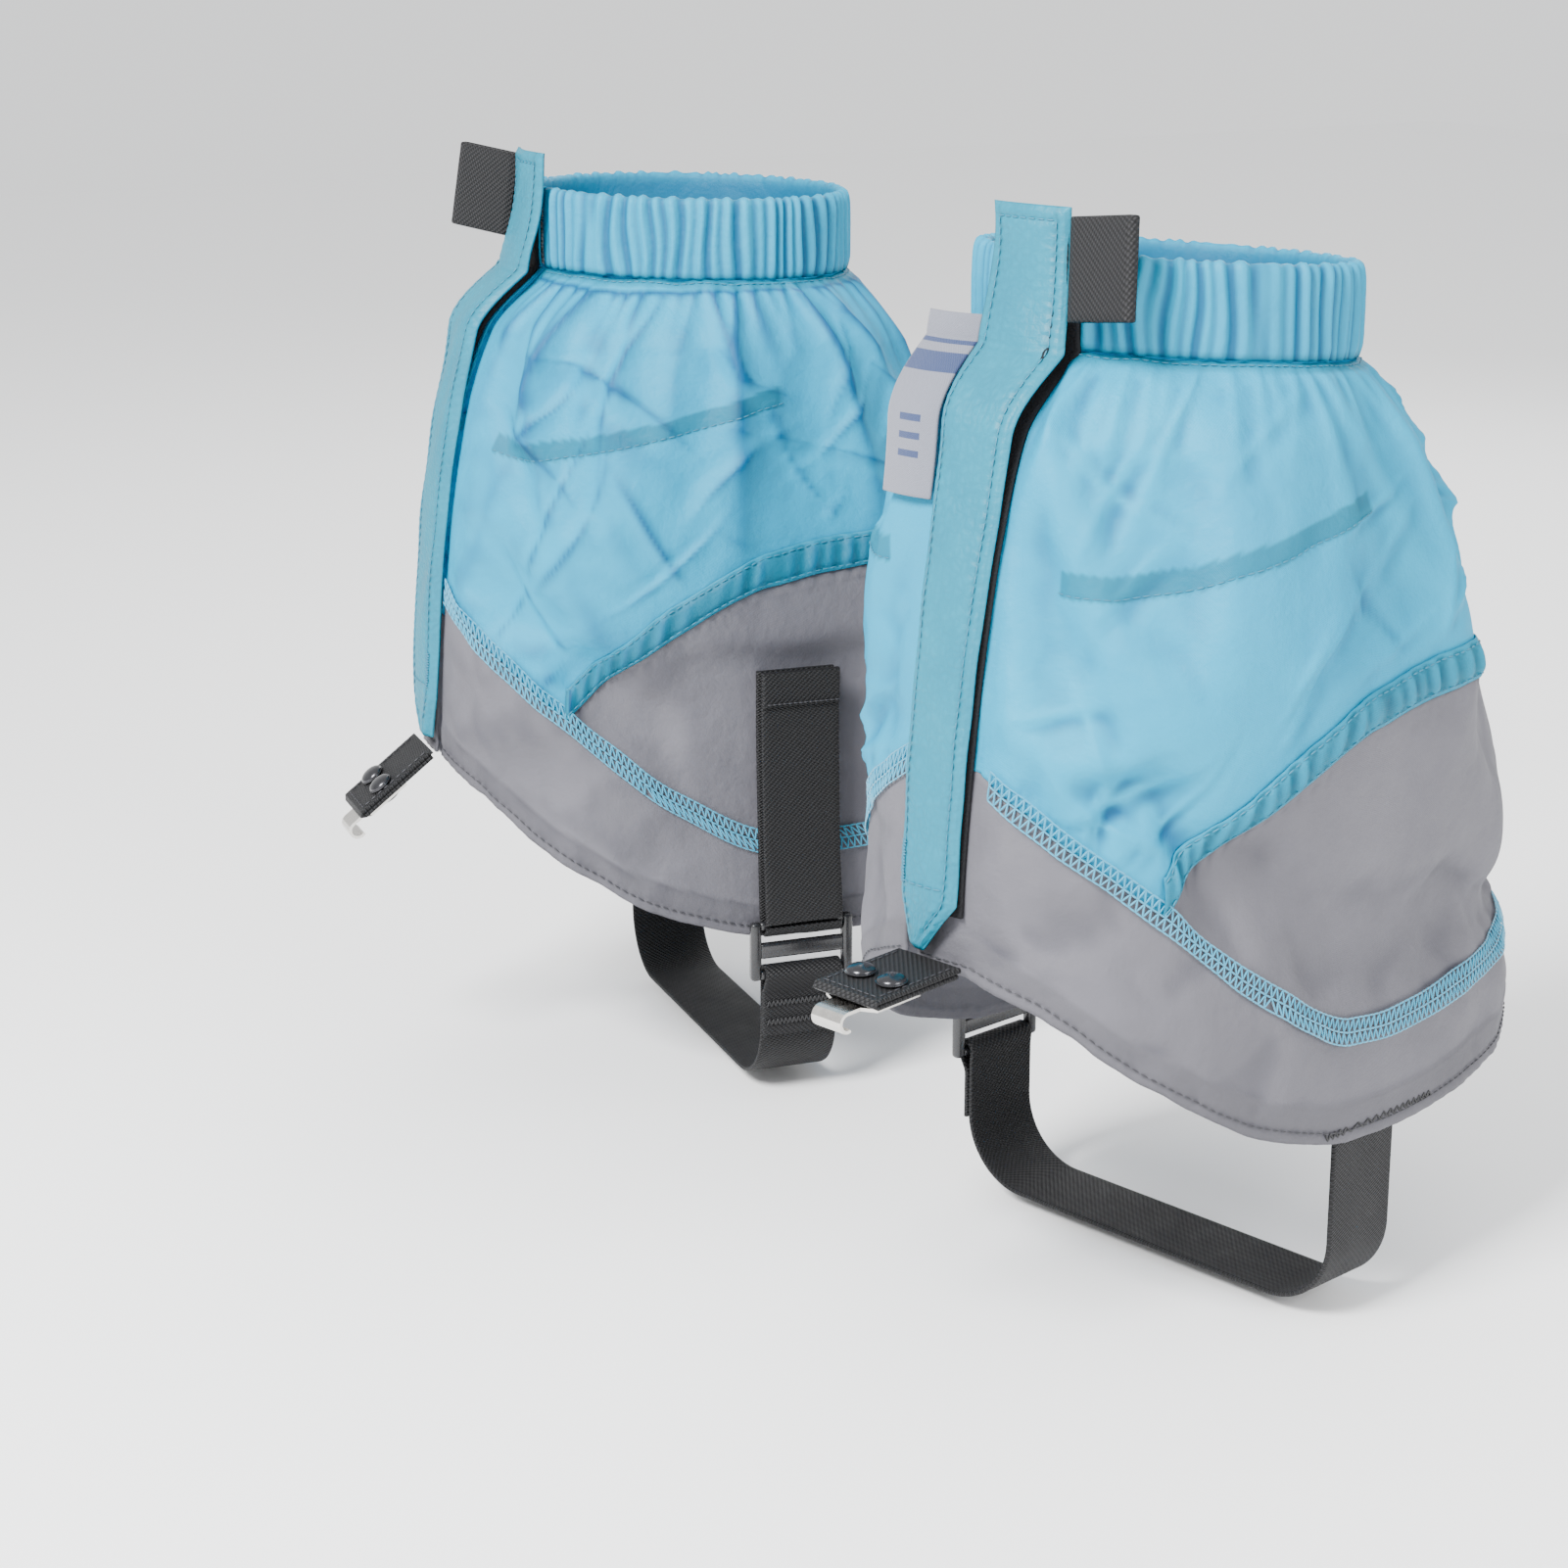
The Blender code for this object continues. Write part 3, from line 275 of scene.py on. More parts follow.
DRAPE_ROWS, DRAPE_COLUMNS, FINER, DRAPE_FRAMES = 46, 124, 4, 26
MOST_MOVE = 0.0055
drape_moves = {}
for side in ("left", "right"):
    def tube_place(u, v):
        angle, height = angle_of(u), height_of(u, v)
        return skin(side, angle, height, 0.0008 + pleats(side, angle, height))

    tube, u, v = new_grid(side + "_drape", DRAPE_ROWS, DRAPE_COLUMNS, tube_place, (1, 1))
    start = read_points(tube)
    angle = angle_of(u)
    hold = 0.008 + 0.45 * smooth(0.05, 0.0, v) + smooth(0.965, 0.995, v)
    seam_share = (seam_at(angle) - hem_at(angle)) / (CUFF_BASE - hem_at(angle))
    hold += 0.5 * np.exp(-((v - seam_share) / 0.02) ** 2)
    hold += smooth(0.016, 0.0, u) + smooth(0.984, 1.0, u)
    group = tube.vertex_groups.new(name="held")
    for index, weight in enumerate(np.clip(hold, 0, 1)):
        group.add([index], float(weight), "REPLACE")
    rng = np.random.default_rng(5 if side == "left" else 9)
    nudge = rng.normal(0, 0.0003, start.shape)
    write_points(tube, start + nudge)
    cloth = tube.modifiers.new("drape", "CLOTH")
    cloth.settings.quality = 6
    cloth.settings.mass = 0.06
    cloth.settings.tension_stiffness = cloth.settings.compression_stiffness = 12
    cloth.settings.shear_stiffness = 4
    cloth.settings.bending_stiffness = 0.9
    cloth.settings.vertex_group_mass = "held"
    cloth.settings.pin_stiffness = 1.0
    cloth.settings.shrink_min = -0.04
    cloth.settings.effector_weights.gravity = 0.15
    cloth.settings.use_pressure = True
    cloth.settings.uniform_pressure_force = 0.25
    cloth.collision_settings.use_collision = False
    cloth.point_cache.frame_start, cloth.point_cache.frame_end = 1, DRAPE_FRAMES
    for step in range(1, DRAPE_FRAMES + 1):
        bpy.context.scene.frame_set(step)
    only(tube)
    bpy.ops.object.modifier_apply(modifier="drape")
    bpy.context.scene.frame_set(1)
    moved = read_points(tube) - start
    size = np.linalg.norm(moved, axis=1, keepdims=True)
    moved *= np.minimum(1, MOST_MOVE / np.maximum(size, 1e-9))
    order = np.lexsort((u.round(5), v.round(5)))
    calm = 1 - 0.9 * (smooth(18, 12, np.abs(angle_of(u) - 270)) * smooth(0.150, 0.140, height_of(u, v)))
    calm *= 1 - 0.9 * (smooth(17, 12, np.abs(angle_of(u) - 94)) * smooth(0.082, 0.074, height_of(u, v)))
    calm *= 1 - 0.85 * smooth(16, 10, fold(angle_of(u)))
    moved *= calm[:, None]
    grid = moved[order].reshape(DRAPE_ROWS + 1, DRAPE_COLUMNS + 1, 3)
    for axis in (0, 1):
        count = grid.shape[axis]
        where = np.linspace(0, count - 1, (count - 1) * FINER + 1)
        low = np.minimum(where.astype(int), count - 2)
        share = (where - low).reshape((-1, 1, 1) if axis == 0 else (1, -1, 1))
        grid = np.take(grid, low, axis) * (1 - share) + np.take(grid, low + 1, axis) * share
    for _ in range(14):
        grid[1:-1] = (grid[:-2] + 2 * grid[1:-1] + grid[2:]) / 4
        grid[:, 1:-1] = (grid[:, :-2] + 2 * grid[:, 1:-1] + grid[:, 2:]) / 4
    drape_moves[side] = grid
    bpy.data.objects.remove(tube, do_unlink=True)


def draped(side, angle, height, out):
    """Points on the draped cloth at any angle and height between hem and cuff."""
    angle, height = np.broadcast_arrays(np.asarray(angle, float), np.asarray(height, float))
    low = hem_at(angle)
    u = np.clip((angle - SLIT[0]) / (SLIT[1] - SLIT[0]), 0, 1) * DRAPE_COLUMNS * FINER
    v = np.clip((height - low) / (CUFF_BASE - low), 0, 1) * DRAPE_ROWS * FINER
    grid = drape_moves[side]
    i = np.minimum(v.astype(int), grid.shape[0] - 2)
    j = np.minimum(u.astype(int), grid.shape[1] - 2)
    a, b = (v - i)[..., None], (u - j)[..., None]
    move = ((1 - a) * ((1 - b) * grid[i, j] + b * grid[i, j + 1])
            + a * ((1 - b) * grid[i + 1, j] + b * grid[i + 1, j + 1]))
    raised = out + pleats(side, angle, height) + creases(side, angle, height)
    return skin(side, angle, height, raised) + move


# ------------------------------------------------------------------ upper shell
# Sky-blue coated nylon, thin enough for a second layer to show as a darker band; that band and the shade in
# its folds are painted shade. Its lower edge is sewn to the grey skirt in front and to the elastic arc over
# the heel.
class Val:
    """A shader socket in arithmetic."""

    def __init__(self, finish, socket):
        self.finish, self.socket = finish, socket

    def math(self, operation, *others):
        return self.finish.node("Math", {"operation": operation}, {0: self, **dict(enumerate(others, 1))})

    def __add__(self, other):
        return self.math("ADD", other)

    def __mul__(self, other):
        return self.math("MULTIPLY", other)

    def __sub__(self, other):
        return self.math("SUBTRACT", other)

    def __rsub__(self, other):
        return (self * -1) + other

    def __truediv__(self, other):
        return self.math("DIVIDE", other)

    __radd__, __rmul__ = __add__, __mul__


class Finish:
    """One material, whose nodes all come from its node method."""

    def __init__(self, name, **fixed):
        self.mat = bpy.data.materials.new(name)
        self.mat.use_nodes = True
        self.tree = self.mat.node_tree
        self.shader = self.tree.nodes["Principled BSDF"]
        for socket, value in fixed.items():
            self.shader.inputs[socket.replace("_", " ")].default_value = value

    def node(self, kind, settings, inputs, out=0):
        made = self.tree.nodes.new("ShaderNode" + kind)
        for key, value in settings.items():
            if key == "stops":
                while len(made.color_ramp.elements) < len(value):
                    made.color_ramp.elements.new(0.5)
                for stop, (place, colour) in zip(made.color_ramp.elements, value):
                    stop.position, stop.color = place, (*colour, 1)
            else:
                setattr(made, key, value)
        for key, value in inputs.items():
            if isinstance(value, Val):
                self.tree.links.new(value.socket, made.inputs[key])
            else:
                made.inputs[key].default_value = value
        return Val(self, made.outputs[out])

    def set(self, socket, value):
        self.tree.links.new(value.socket, self.shader.inputs[socket])

    def colours(self, share, first, second):
        return self.blend(share, (*first, 1), (*second, 1))

    def blend(self, share, first, second):
        return self.node("Mix", {"data_type": "RGBA"}, {0: share, 6: first, 7: second}, 2)

    def noise(self, where, scale, detail=3.0, rough=0.55):
        return self.node("TexNoise", {}, {"Vector": where, "Scale": scale, "Detail": detail,
                                          "Roughness": rough})

    def bump(self, height, distance, strength=1.0):
        return self.node("Bump", {}, {"Height": height, "Distance": distance,
                                      "Strength": strength})

    def place(self, kind="Object"):
        return self.node("TexCoord", {}, {}, ("Generated", "Normal", "UV", "Object").index(kind))

    def level(self, name):
        return self.node("Attribute", {"attribute_name": name}, {}, 2)


def flat_axes(finish):
    """Distances across and along the cloth's flat layout."""
    across = finish.node("SeparateXYZ", {}, {0: finish.place("UV")})
    return across, Val(finish, across.socket.node.outputs[1])


def weave(finish, across, along, pitch):
    """Height of a plain weave on flat coordinates: threads over and under each other."""
    warp = (across * (2 * math.pi / pitch)).math("SINE")
    weft = (along * (2 * math.pi / pitch)).math("SINE")
    return warp * weft


def cloth_finish(name, colour, light, dark, weave_pitch, roughness, translucent):
    """Nylon with painted shade in its folds and where a second layer lies behind the thin cloth."""
    finish = Finish(name, Roughness=roughness, Specular_IOR_Level=0.3)
    here = finish.place()
    fine = weave(finish, *flat_axes(finish), weave_pitch)
    cloud = finish.noise(here, 22.0, 4.0)
    crumple = finish.noise(here, 120.0, 5.0, 0.6)
    fold_shade, layers = finish.level("fold"), finish.level("layers")
    shade = finish.colours((cloud - 0.5) * 1.6 + 0.5, colour, light)
    # painted shade: the dark colour is laid over the cloth where its folds lie deep
    shade = finish.blend(finish.node("Clamp", {}, {0: fold_shade}), shade, (*dark, 1))
    # painted shade: darker and a little more saturated where a second layer lies behind the thin cloth
    second = finish.node("HueSaturation", {}, {"Value": 0.42, "Saturation": 1.05, "Color": shade})
    shade = finish.blend(finish.node("Clamp", {}, {0: layers}), shade, second)
    finish.set("Base Color", shade)
    finish.set("Roughness", (crumple - 0.5) * 0.25 + roughness)
    lump = finish.bump(crumple, 0.0014, 0.6)
    thread = finish.node("Bump", {}, {"Height": fine, "Distance": 0.00004, "Strength": 0.6,
                                      "Normal": lump})
    finish.set("Normal", thread)
    if translucent:
        through = finish.node("BsdfTranslucent", {}, {"Color": shade, "Normal": thread})
        both = finish.node("MixShader", {}, {0: translucent, 1: Val(finish, finish.shader.outputs[0]),
                                             2: through})
        finish.tree.links.new(both.socket, finish.tree.nodes["Material Output"].inputs["Surface"])
    return finish


# the third colour is the painted shade laid into the cloth's folds
sky = cloth_finish("sky_nylon", (0.000, 0.350, 0.580), (0.002, 0.455, 0.690), (0.000, 0.125, 0.290),
                   0.00042, 0.42, 0.35)


def relax(values, times):
    """Average of a grid's neighbours, a few times over."""
    for _ in range(times):
        values = (values + np.roll(values, 1, 0) + np.roll(values, -1, 0)
                  + np.roll(values, 1, 1) + np.roll(values, -1, 1)) / 5
    return values


def set_level(obj, name, values):
    layer = obj.data.attributes.new(name, "FLOAT", "POINT")
    layer.data.foreach_set("value", np.asarray(values, np.float32).ravel())


def fold_shade_level(obj, u, v, rows, columns, gain):
    """How deep each point lies in a fold, for the painted shade along the cloth's folds."""
    order = np.lexsort((u.round(5), v.round(5)))
    p = read_points(obj)[order].reshape(rows + 1, columns + 1, 3)
    du, dv = np.gradient(p, axis=1), np.gradient(p, axis=0)
    normal = np.cross(du, dv)
    normal /= np.maximum(np.linalg.norm(normal, axis=-1, keepdims=True), 1e-12)
    wide = np.stack([relax(p[..., k], 7) for k in range(3)], -1)
    depth = np.sum((wide - p) * normal, -1)
    depth[:3], depth[-3:], depth[:, :3], depth[:, -3:] = 0, 0, 0, 0
    level = np.empty(len(order))
    level[order] = np.clip(depth * gain, 0, 1).ravel()
    return level


def apply(obj, modifier):
    only(obj)
    bpy.ops.object.modifier_apply(modifier=modifier.name)


def thicken(obj, thickness, outwards=1.0):
    """Gives a sheet its thickness on the side that its normals point away from."""
    wall = obj.modifiers.new("wall", "SOLIDIFY")
    wall.thickness, wall.offset = thickness, outwards
    wall.use_even_offset = False
    apply(obj, wall)


def face_out(obj, side):
    """Points the sheet's faces away from the leg axis."""
    axis = stand(side, np.zeros(3))
    mesh = obj.data
    total = sum((f.center - Vector(axis)).xy.dot(f.normal.xy) * f.area for f in mesh.polygons)
    if total < 0:
        mesh.flip_normals()


def finish_cloth(obj, side, finish, thickness, nodes, body, inwards=True):
    face_out(obj, side)
    thicken(obj, thickness, -1.0 if inwards else 1.0)
    obj.data.materials.clear()
    obj.data.materials.append(finish.mat)
    for polygon in obj.data.polygons:
        polygon.use_smooth = True
    if isinstance(body, tuple):
        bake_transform(obj)
    else:
        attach(obj, body)
    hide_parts(*nodes)


def edge_pucker(angle, distance, pitch, depth):
    """Small dimples along a row of stitches."""
    return depth * np.cos(np.asarray(angle) * 2 * math.pi / pitch) * np.exp(-(distance / 0.004) ** 2)


def cloth_band(name, side, span, low, high, out, size, finish, thickness, nodes, flat=None, layers=None,
               lift=None, body=None, gain=1500):
    """One piece of cloth on the tube, between two heights that change with the angle."""
    columns, rows = size

    def lay(u, v):
        angle = span[0] + (span[1] - span[0]) * u
        height = low(angle) + (high(angle) - low(angle)) * v
        raised = out if lift is None else out + lift(angle, height, u, v)
        return stand(side, draped(side, angle, height, raised))

    angles = np.linspace(*span, 200)
    line = lay((angles - span[0]) / (span[1] - span[0]), 0.5 + 0 * angles)
    long = float(np.linalg.norm(np.diff(line, axis=0), axis=1).sum())
    tall = float(np.mean(high(angles) - low(angles)))
    band, u, v = new_grid(side + "_" + name, rows, columns, lay, (long, tall))
    angle = span[0] + (span[1] - span[0]) * u
    height = low(angle) + (high(angle) - low(angle)) * v
    # painted shade: darker in the folds and where a second layer lies behind the cloth
    set_level(band, "fold", fold_shade_level(band, u, v, rows, columns, gain))
    set_level(band, "layers", layers(angle, height, u, v) if layers else 0 * u)
    finish_cloth(band, side, finish, thickness, [side + "_" + node for node in nodes],
                 body or side + "_gaiter")
    if flat:
        side + "_cuff_casing"


def shell_low(angle):
    return np.where(fold(angle) < ARC_FROM, seam_at(angle), arc_at(angle))


def cuff_base(angle):
    return CUFF_BASE + 0 * np.asarray(angle, float)


def facing_at(angle):
    return 0.2020 + 0.0170 * ((fold(angle) - 21) / 71) ** 2


def shell_layer_shade(angle, height, u, v):
    # painted shade where a second layer lies behind the thin cloth: the facing strip's band and the
    # casing's seam allowance just under the cuff
    up = height - facing_at(angle)
    facing = smooth(-0.0004, 0.0, up) * smooth(0.0054, 0.005, up)
    facing = facing * ((fold(angle) > 21) & (fold(angle) < 92))
    return np.clip(facing * 0.75 + 0.6 * smooth(CUFF_BASE - 0.0022, CUFF_BASE - 0.0014, height), 0, 1)


for side in ("left", "right"):
    cloth_band("shell_cloth", side, SLIT, shell_low, cuff_base, 0.0008, (400, 112), sky, 0.0005,
               ["upper_shell"], (0.42, 0.115, "gathered", None), shell_layer_shade,
               lambda a, h, u, v: edge_pucker(a, h - shell_low(a), 2.4, 0.00025))
    for half, span in (("outer", (21, 92)), ("inner", (268, 339))):
        cloth_band("facing_" + half, side, span, facing_at, lambda a: facing_at(a) + 0.005, -0.0007,
                   (90, 4), sky, 0.0004, ["facing_strip_" + half])


# ------------------------------------------------------------------ grey panels
# Heathered grey nylon: the heel panel under the elastic arc and the skirt below the cover stitch.
# The skirt's lower edge is turned up twice and topstitched.
# the third colour is the painted shade laid into the cloth's folds
grey = cloth_finish("grey_nylon", (0.090, 0.088, 0.102), (0.130, 0.127, 0.146), (0.035, 0.035, 0.048),
                    0.00045, 0.60, 0.0)


def hem_layer_shade(angle, height, u, v):
    # painted shade where the turned-up hem lies behind the cloth
    up = height - hem_at(angle)
    return 0.35 * smooth(0.0105, 0.0098, up)


def hem_lift(angle, height, u, v):
    up = height - hem_at(angle)
    roll = 0.0004 * smooth(0.0106, 0.0096, up)
    stitched = -0.00035 * np.exp(-((up - 0.0030) / 0.0009) ** 2)
    return roll + stitched + edge_pucker(angle, up - 0.001, 3.1, 0.00012)


def heel_folds(side, angle, height):
    """Soft hanging folds of the heavier grey cloth."""
    rng = np.random.default_rng(91 if side == "left" else 97)
    lift = np.zeros(np.broadcast(angle, height).shape)
    for _ in range(16):
        centre = rng.uniform(ARC_FROM, 360 - ARC_FROM) + rng.uniform(-400, 400) * (height - 0.11)
        wide = rng.uniform(3, 7)
        tall = rng.uniform(0.0005, 0.0014)
        lift = lift + tall * np.exp(-(np.abs(angle - centre) / wide) ** 1.6)
    calm = 1 - smooth(18, 12, np.abs(angle - 270)) * smooth(0.150, 0.140, height)
    return lift * calm * smooth(0.0, 0.008, arc_at(angle) - height)


for side in ("left", "right"):
    cloth_band("skirt_cloth", side, SLIT, hem_at, seam_at, 0.0008, (400, 36), grey, 0.0008,
               ["skirt_panel"], (0.52, 0.040, "gathered", None), hem_layer_shade, hem_lift)
    cloth_band("heel_cloth", side, (ARC_FROM, 360 - ARC_FROM), seam_at, arc_at, 0.0008, (280, 70), grey,
               0.0008, ["heel_panel"], (0.40, 0.085, "gathered", None), None,
               lambda a, h, u, v: (edge_pucker(a, arc_at(a) - h, 2.8, 0.00035)
                                   + heel_folds(side, a, h) * smooth(0, 0.006, h - seam_at(a))))


# ------------------------------------------------------------------ elastic casings
# The cuff is a folded casing round a 20 mm elastic, and a narrower one runs over the heel panel
# from one end of the cover stitch to the other. The elastic gathers both into fine upright pleats.
def ruche(side, angle, height, pitch):
    """Height of the fine pleats in a casing, from 0 to 1."""
    rng = np.random.default_rng(31 if side == "left" else 47)
    slow = sum(rng.uniform(0.4, 1) * np.sin(np.radians(angle) * k + rng.uniform(0, 6))
               for k in (3, 5, 8, 13))
    drift = sum(rng.uniform(0.3, 1) * np.sin(height * 180 + np.radians(angle) * k + rng.uniform(0, 6))
                for k in (7, 11))
    wave = np.sin(2 * math.pi * angle / pitch + 1.9 * slow + 0.8 * drift)
    other = np.sin(2 * math.pi * angle / (pitch * 1.62) - 1.1 * slow + 0.4 * drift + 1.0)
    return np.clip(0.5 + 0.34 * wave + 0.24 * other, 0, 1) ** 1.25


CUFF_PITCH, ARC_PITCH = 5.2, 3.4
CASING_LOOP = ((0.0010, 0.0004), (0.0012, 0.0010), (0.0014, 0.0060), (0.0014, 0.0120), (0.0013, 0.0180),
               (0.0010, 0.0226), (0.0002, 0.0238), (-0.0008, 0.0240), (-0.0017, 0.0232),
               (-0.0020, 0.0180), (-0.0021, 0.0100), (-0.0021, 0.0012))

for side in ("left", "right"):
    loop = np.array(CASING_LOOP)
    steps = np.r_[0, np.cumsum(np.linalg.norm(np.diff(loop, axis=0), axis=1))]

    def cuff_lay(u, v):
        angle = angle_of(u)
        out = curve(steps / steps[-1], loop[:, 0], v)
        up = curve(steps / steps[-1], loop[:, 1], v)
        full = smooth(0.0, 0.004, up) * 0.5 + 0.5
        pleat = ruche(side, angle, up, CUFF_PITCH) - 0.25
        outer = smooth(0.60, 0.40, v)
        calm = 1 - 0.8 * smooth(16, 9, fold(angle))
        lift = 0.0017 * pleat * outer * full * calm
        rim = ruche(side, angle, 0.02, CUFF_PITCH) - 0.5
        top = 0.0009 * rim * np.exp(-((v - 0.52) / 0.10) ** 2) * calm
        return stand(side, skin(side, angle, CUFF_BASE + up + top, out + lift))

    cuff, u, v = new_grid(side + "_cuff_cloth", 44, 780, cuff_lay, (0.30, 0.048))
    pleat = ruche(side, angle_of(u), curve(steps / steps[-1], loop[:, 1], v), CUFF_PITCH)
    # painted shade: darker in the hollows between the outer wall's pleats and over the whole inner wall of
    # the casing
    set_level(cuff, "fold", np.clip(1 - pleat * 2.2, 0, 0.85) * smooth(0.6, 0.45, v)
              + 0.75 * smooth(0.50, 0.62, v))
    # painted shade: a little over the whole double casing and more at its sewn foot, where the seam
    # allowance lies behind
    set_level(cuff, "layers", 0.12 + 0.6 * smooth(0.035, 0.015, v))
    finish_cloth(cuff, side, sky, 0.0004, [side + "_cuff_casing"], side + "_gaiter")
    side + "_cuff_elastic"

elastic = Finish("white_elastic", Roughness=0.8, Sheen_Weight=0.3)
flat = elastic.node("SeparateXYZ", {}, {0: elastic.place()})
braid = (Val(elastic, flat.socket.node.outputs[2]) * 5200).math("SINE")
elastic.set("Base Color", elastic.colours(braid * 0.5 + 0.5, (0.48, 0.48, 0.47), (0.78, 0.78, 0.76)))
elastic.set("Normal", elastic.bump(braid, 0.0002))
elastic.set("Roughness", elastic.noise(elastic.place(), 900.0) * 0.2 + 0.7)

for side in ("left", "right"):
    bpy.data.objects[side + "_cuff_elastic"].data.materials.clear()
    bpy.data.objects[side + "_cuff_elastic"].data.materials.append(elastic.mat)
    cloth_band("heel_elastic_band", side, (ARC_FROM + 4, 356 - ARC_FROM), lambda a: arc_at(a) + 0.002,
               lambda a: arc_at(a) + 0.008, 0.0010, (160, 4), elastic, 0.0003, ["heel_elastic"])

    def arc_lift(angle, height, u, v):
        gather = ruche(side, angle + 40, height, ARC_PITCH)
        middle = np.sin(np.clip(v, 0, 1) * math.pi) ** 0.6
        stitched = np.exp(-((v - 0.12) / 0.07) ** 2) + np.exp(-((v - 0.88) / 0.07) ** 2)
        return 0.0006 + 0.0013 * gather * middle + 0.0006 * middle - 0.0004 * stitched

    def arc_layer_shade(angle, height, u, v):
        # painted shade: darker over the whole double casing and more in the hollows between its gathers
        return 0.55 + 0.45 * (1 - ruche(side, angle + 40, height, ARC_PITCH)) * (v > 0.1) * (v < 0.9)

    cloth_band("arc_cloth", side, (ARC_FROM - 0.4, 360.4 - ARC_FROM), arc_at, lambda a: arc_at(a) + 0.010,
               0.0009, (640, 16), sky, 0.0004, ["heel_casing"], (0.46, 0.012, "gathered", None), arc_layer_shade,
               arc_lift)


# ------------------------------------------------------------------ cover stitch and topstitching
# The skirt is joined on with a flat cover stitch: three needle lines and the looper thread that
# zigzags between them. The other seams are single rows of lockstitch.
def thread_finish(name, dark, light, rough, **fixed):
    finish = Finish(name, **fixed)
    strand = finish.noise(finish.place(), 2600.0, 2.0)
    finish.set("Base Color", finish.colours(strand, dark, light))
    finish.set("Roughness", strand * 0.3 + rough)
    return finish, strand


thread, strand = thread_finish("cyan_thread", (0.000, 0.180, 0.320), (0.008, 0.330, 0.500), 0.35,
                               Sheen_Weight=0.4)
thread.set("Normal", thread.bump(strand, 0.0001))
dark_thread, grey_thread, black_thread = (
    thread_finish(name + "_thread", dark, light, 0.4)[0]
    for name, dark, light in (("dark", (0.010, 0.110, 0.180), (0.025, 0.200, 0.300)),
                              ("grey", (0.010, 0.010, 0.014), (0.034, 0.034, 0.040)),
                              ("black", (0.004, 0.004, 0.005), (0.022, 0.022, 0.024))))


def threads(name, starts, ends, radius, finish, body, nodes=()):
    """Short lengths of thread from each start to its end, as one piece."""
    bpy.ops.mesh.primitive_uv_sphere_add(segments=6, ring_count=5, radius=1)
    obj = bpy.context.object
    obj.name = name
    round_one = read_points(obj)
    faces = [tuple(p.vertices) for p in obj.data.polygons]
    along = (ends - starts) / 2
    half = np.linalg.norm(along, axis=1, keepdims=True)
    axis = along / np.maximum(half, 1e-9)
    across = np.cross(axis, np.array([0.31, 0.17, 0.93]))
    across /= np.linalg.norm(across, axis=1, keepdims=True)
    third = np.cross(axis, across)
    stretch = half + radius * 0.7
    points = ((starts + ends) / 2)[:, None] + (round_one[None, :, 2:3] * (axis * stretch)[:, None]
                                               + radius * round_one[None, :, 0:1] * across[:, None]
                                               + radius * round_one[None, :, 1:2] * third[:, None])
    count = len(round_one)
    all_faces = [tuple(v + k * count for v in face) for k in range(len(starts)) for face in faces]
    mesh = bpy.data.meshes.new(name)
    mesh.from_pydata(points.reshape(-1, 3).tolist(), [], all_faces)
    obj.data = mesh
    mesh.materials.append(finish.mat)
    mesh.shade_smooth()
    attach(obj, body)
    if nodes:
        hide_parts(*nodes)


def evenly(points, pitch):
    """Points at even steps along a line of points."""
    length = np.r_[0, np.cumsum(np.linalg.norm(np.diff(points, axis=0), axis=1))]
    count = max(2, int(round(length[-1] / pitch)) + 1)
    where = np.linspace(0, length[-1], count)
    return np.stack([np.interp(where, length, points[:, k]) for k in range(3)], -1)


def dashes(points, pitch, share=0.68):
    steps = evenly(points, pitch)
    return steps[:-1], steps[:-1] + (steps[1:] - steps[:-1]) * share


def joined(rows):
    return (np.concatenate([row[0] for row in rows]), np.concatenate([row[1] for row in rows]))


def on_cloth(side, angles, heights, out):
    return stand(side, draped(side, angles, heights, out))


for side in ("left", "right"):
    angles = np.linspace(11.5, 352, 1400)
    rails = [evenly(on_cloth(side, angles, seam_at(angles) + up, 0.0017), 0.0022)
             for up in (-0.0036, 0, 0.0036)]
    count = min(len(rail) for rail in rails)
    low, middle, high = (rail[np.linspace(0, len(rail) - 1, count).round().astype(int)]
                         for rail in rails)
    starts = [low[:-1], middle[:-1], high[:-1], low[:-1], middle[:-1], low[:-1], middle[:-1]]
    ends = [low[1:], middle[1:], high[1:], middle[:-1], high[:-1], middle[1:], high[1:]]
    threads(side + "_cover_stitch_thread", np.concatenate(starts), np.concatenate(ends), 0.00026, thread,
            side + "_gaiter", [side + "_cover_stitch"])
    rows = []
    for up in (0.0012, 0.0088):
        angles = np.linspace(ARC_FROM, 360 - ARC_FROM, 900)
        rows.append(dashes(on_cloth(side, angles, arc_at(angles) + up, 0.0022), 0.0026))
    angles = np.linspace(SLIT[0] + 8, SLIT[1] - 2, 1200)
    rows.append(dashes(on_cloth(side, angles, cuff_base(angles) - 0.0006, 0.0012), 0.0024))
    for span in ((21, 92), (268, 339)):
        angles = np.linspace(*span, 300)
        rows.append(dashes(on_cloth(side, angles, facing_at(angles) + 0.0004, 0.0010), 0.0026))
    threads(side + "_shell_stitches", *joined(rows), 0.00022, dark_thread, side + "_gaiter")
    angles = np.linspace(SLIT[0] + 1, SLIT[1] - 1, 1400)
    row = dashes(on_cloth(side, angles, hem_at(angles) + 0.0030, 0.0014), 0.0027)
    threads(side + "_hem_stitches", *row, 0.00024, grey_thread, side + "_gaiter")


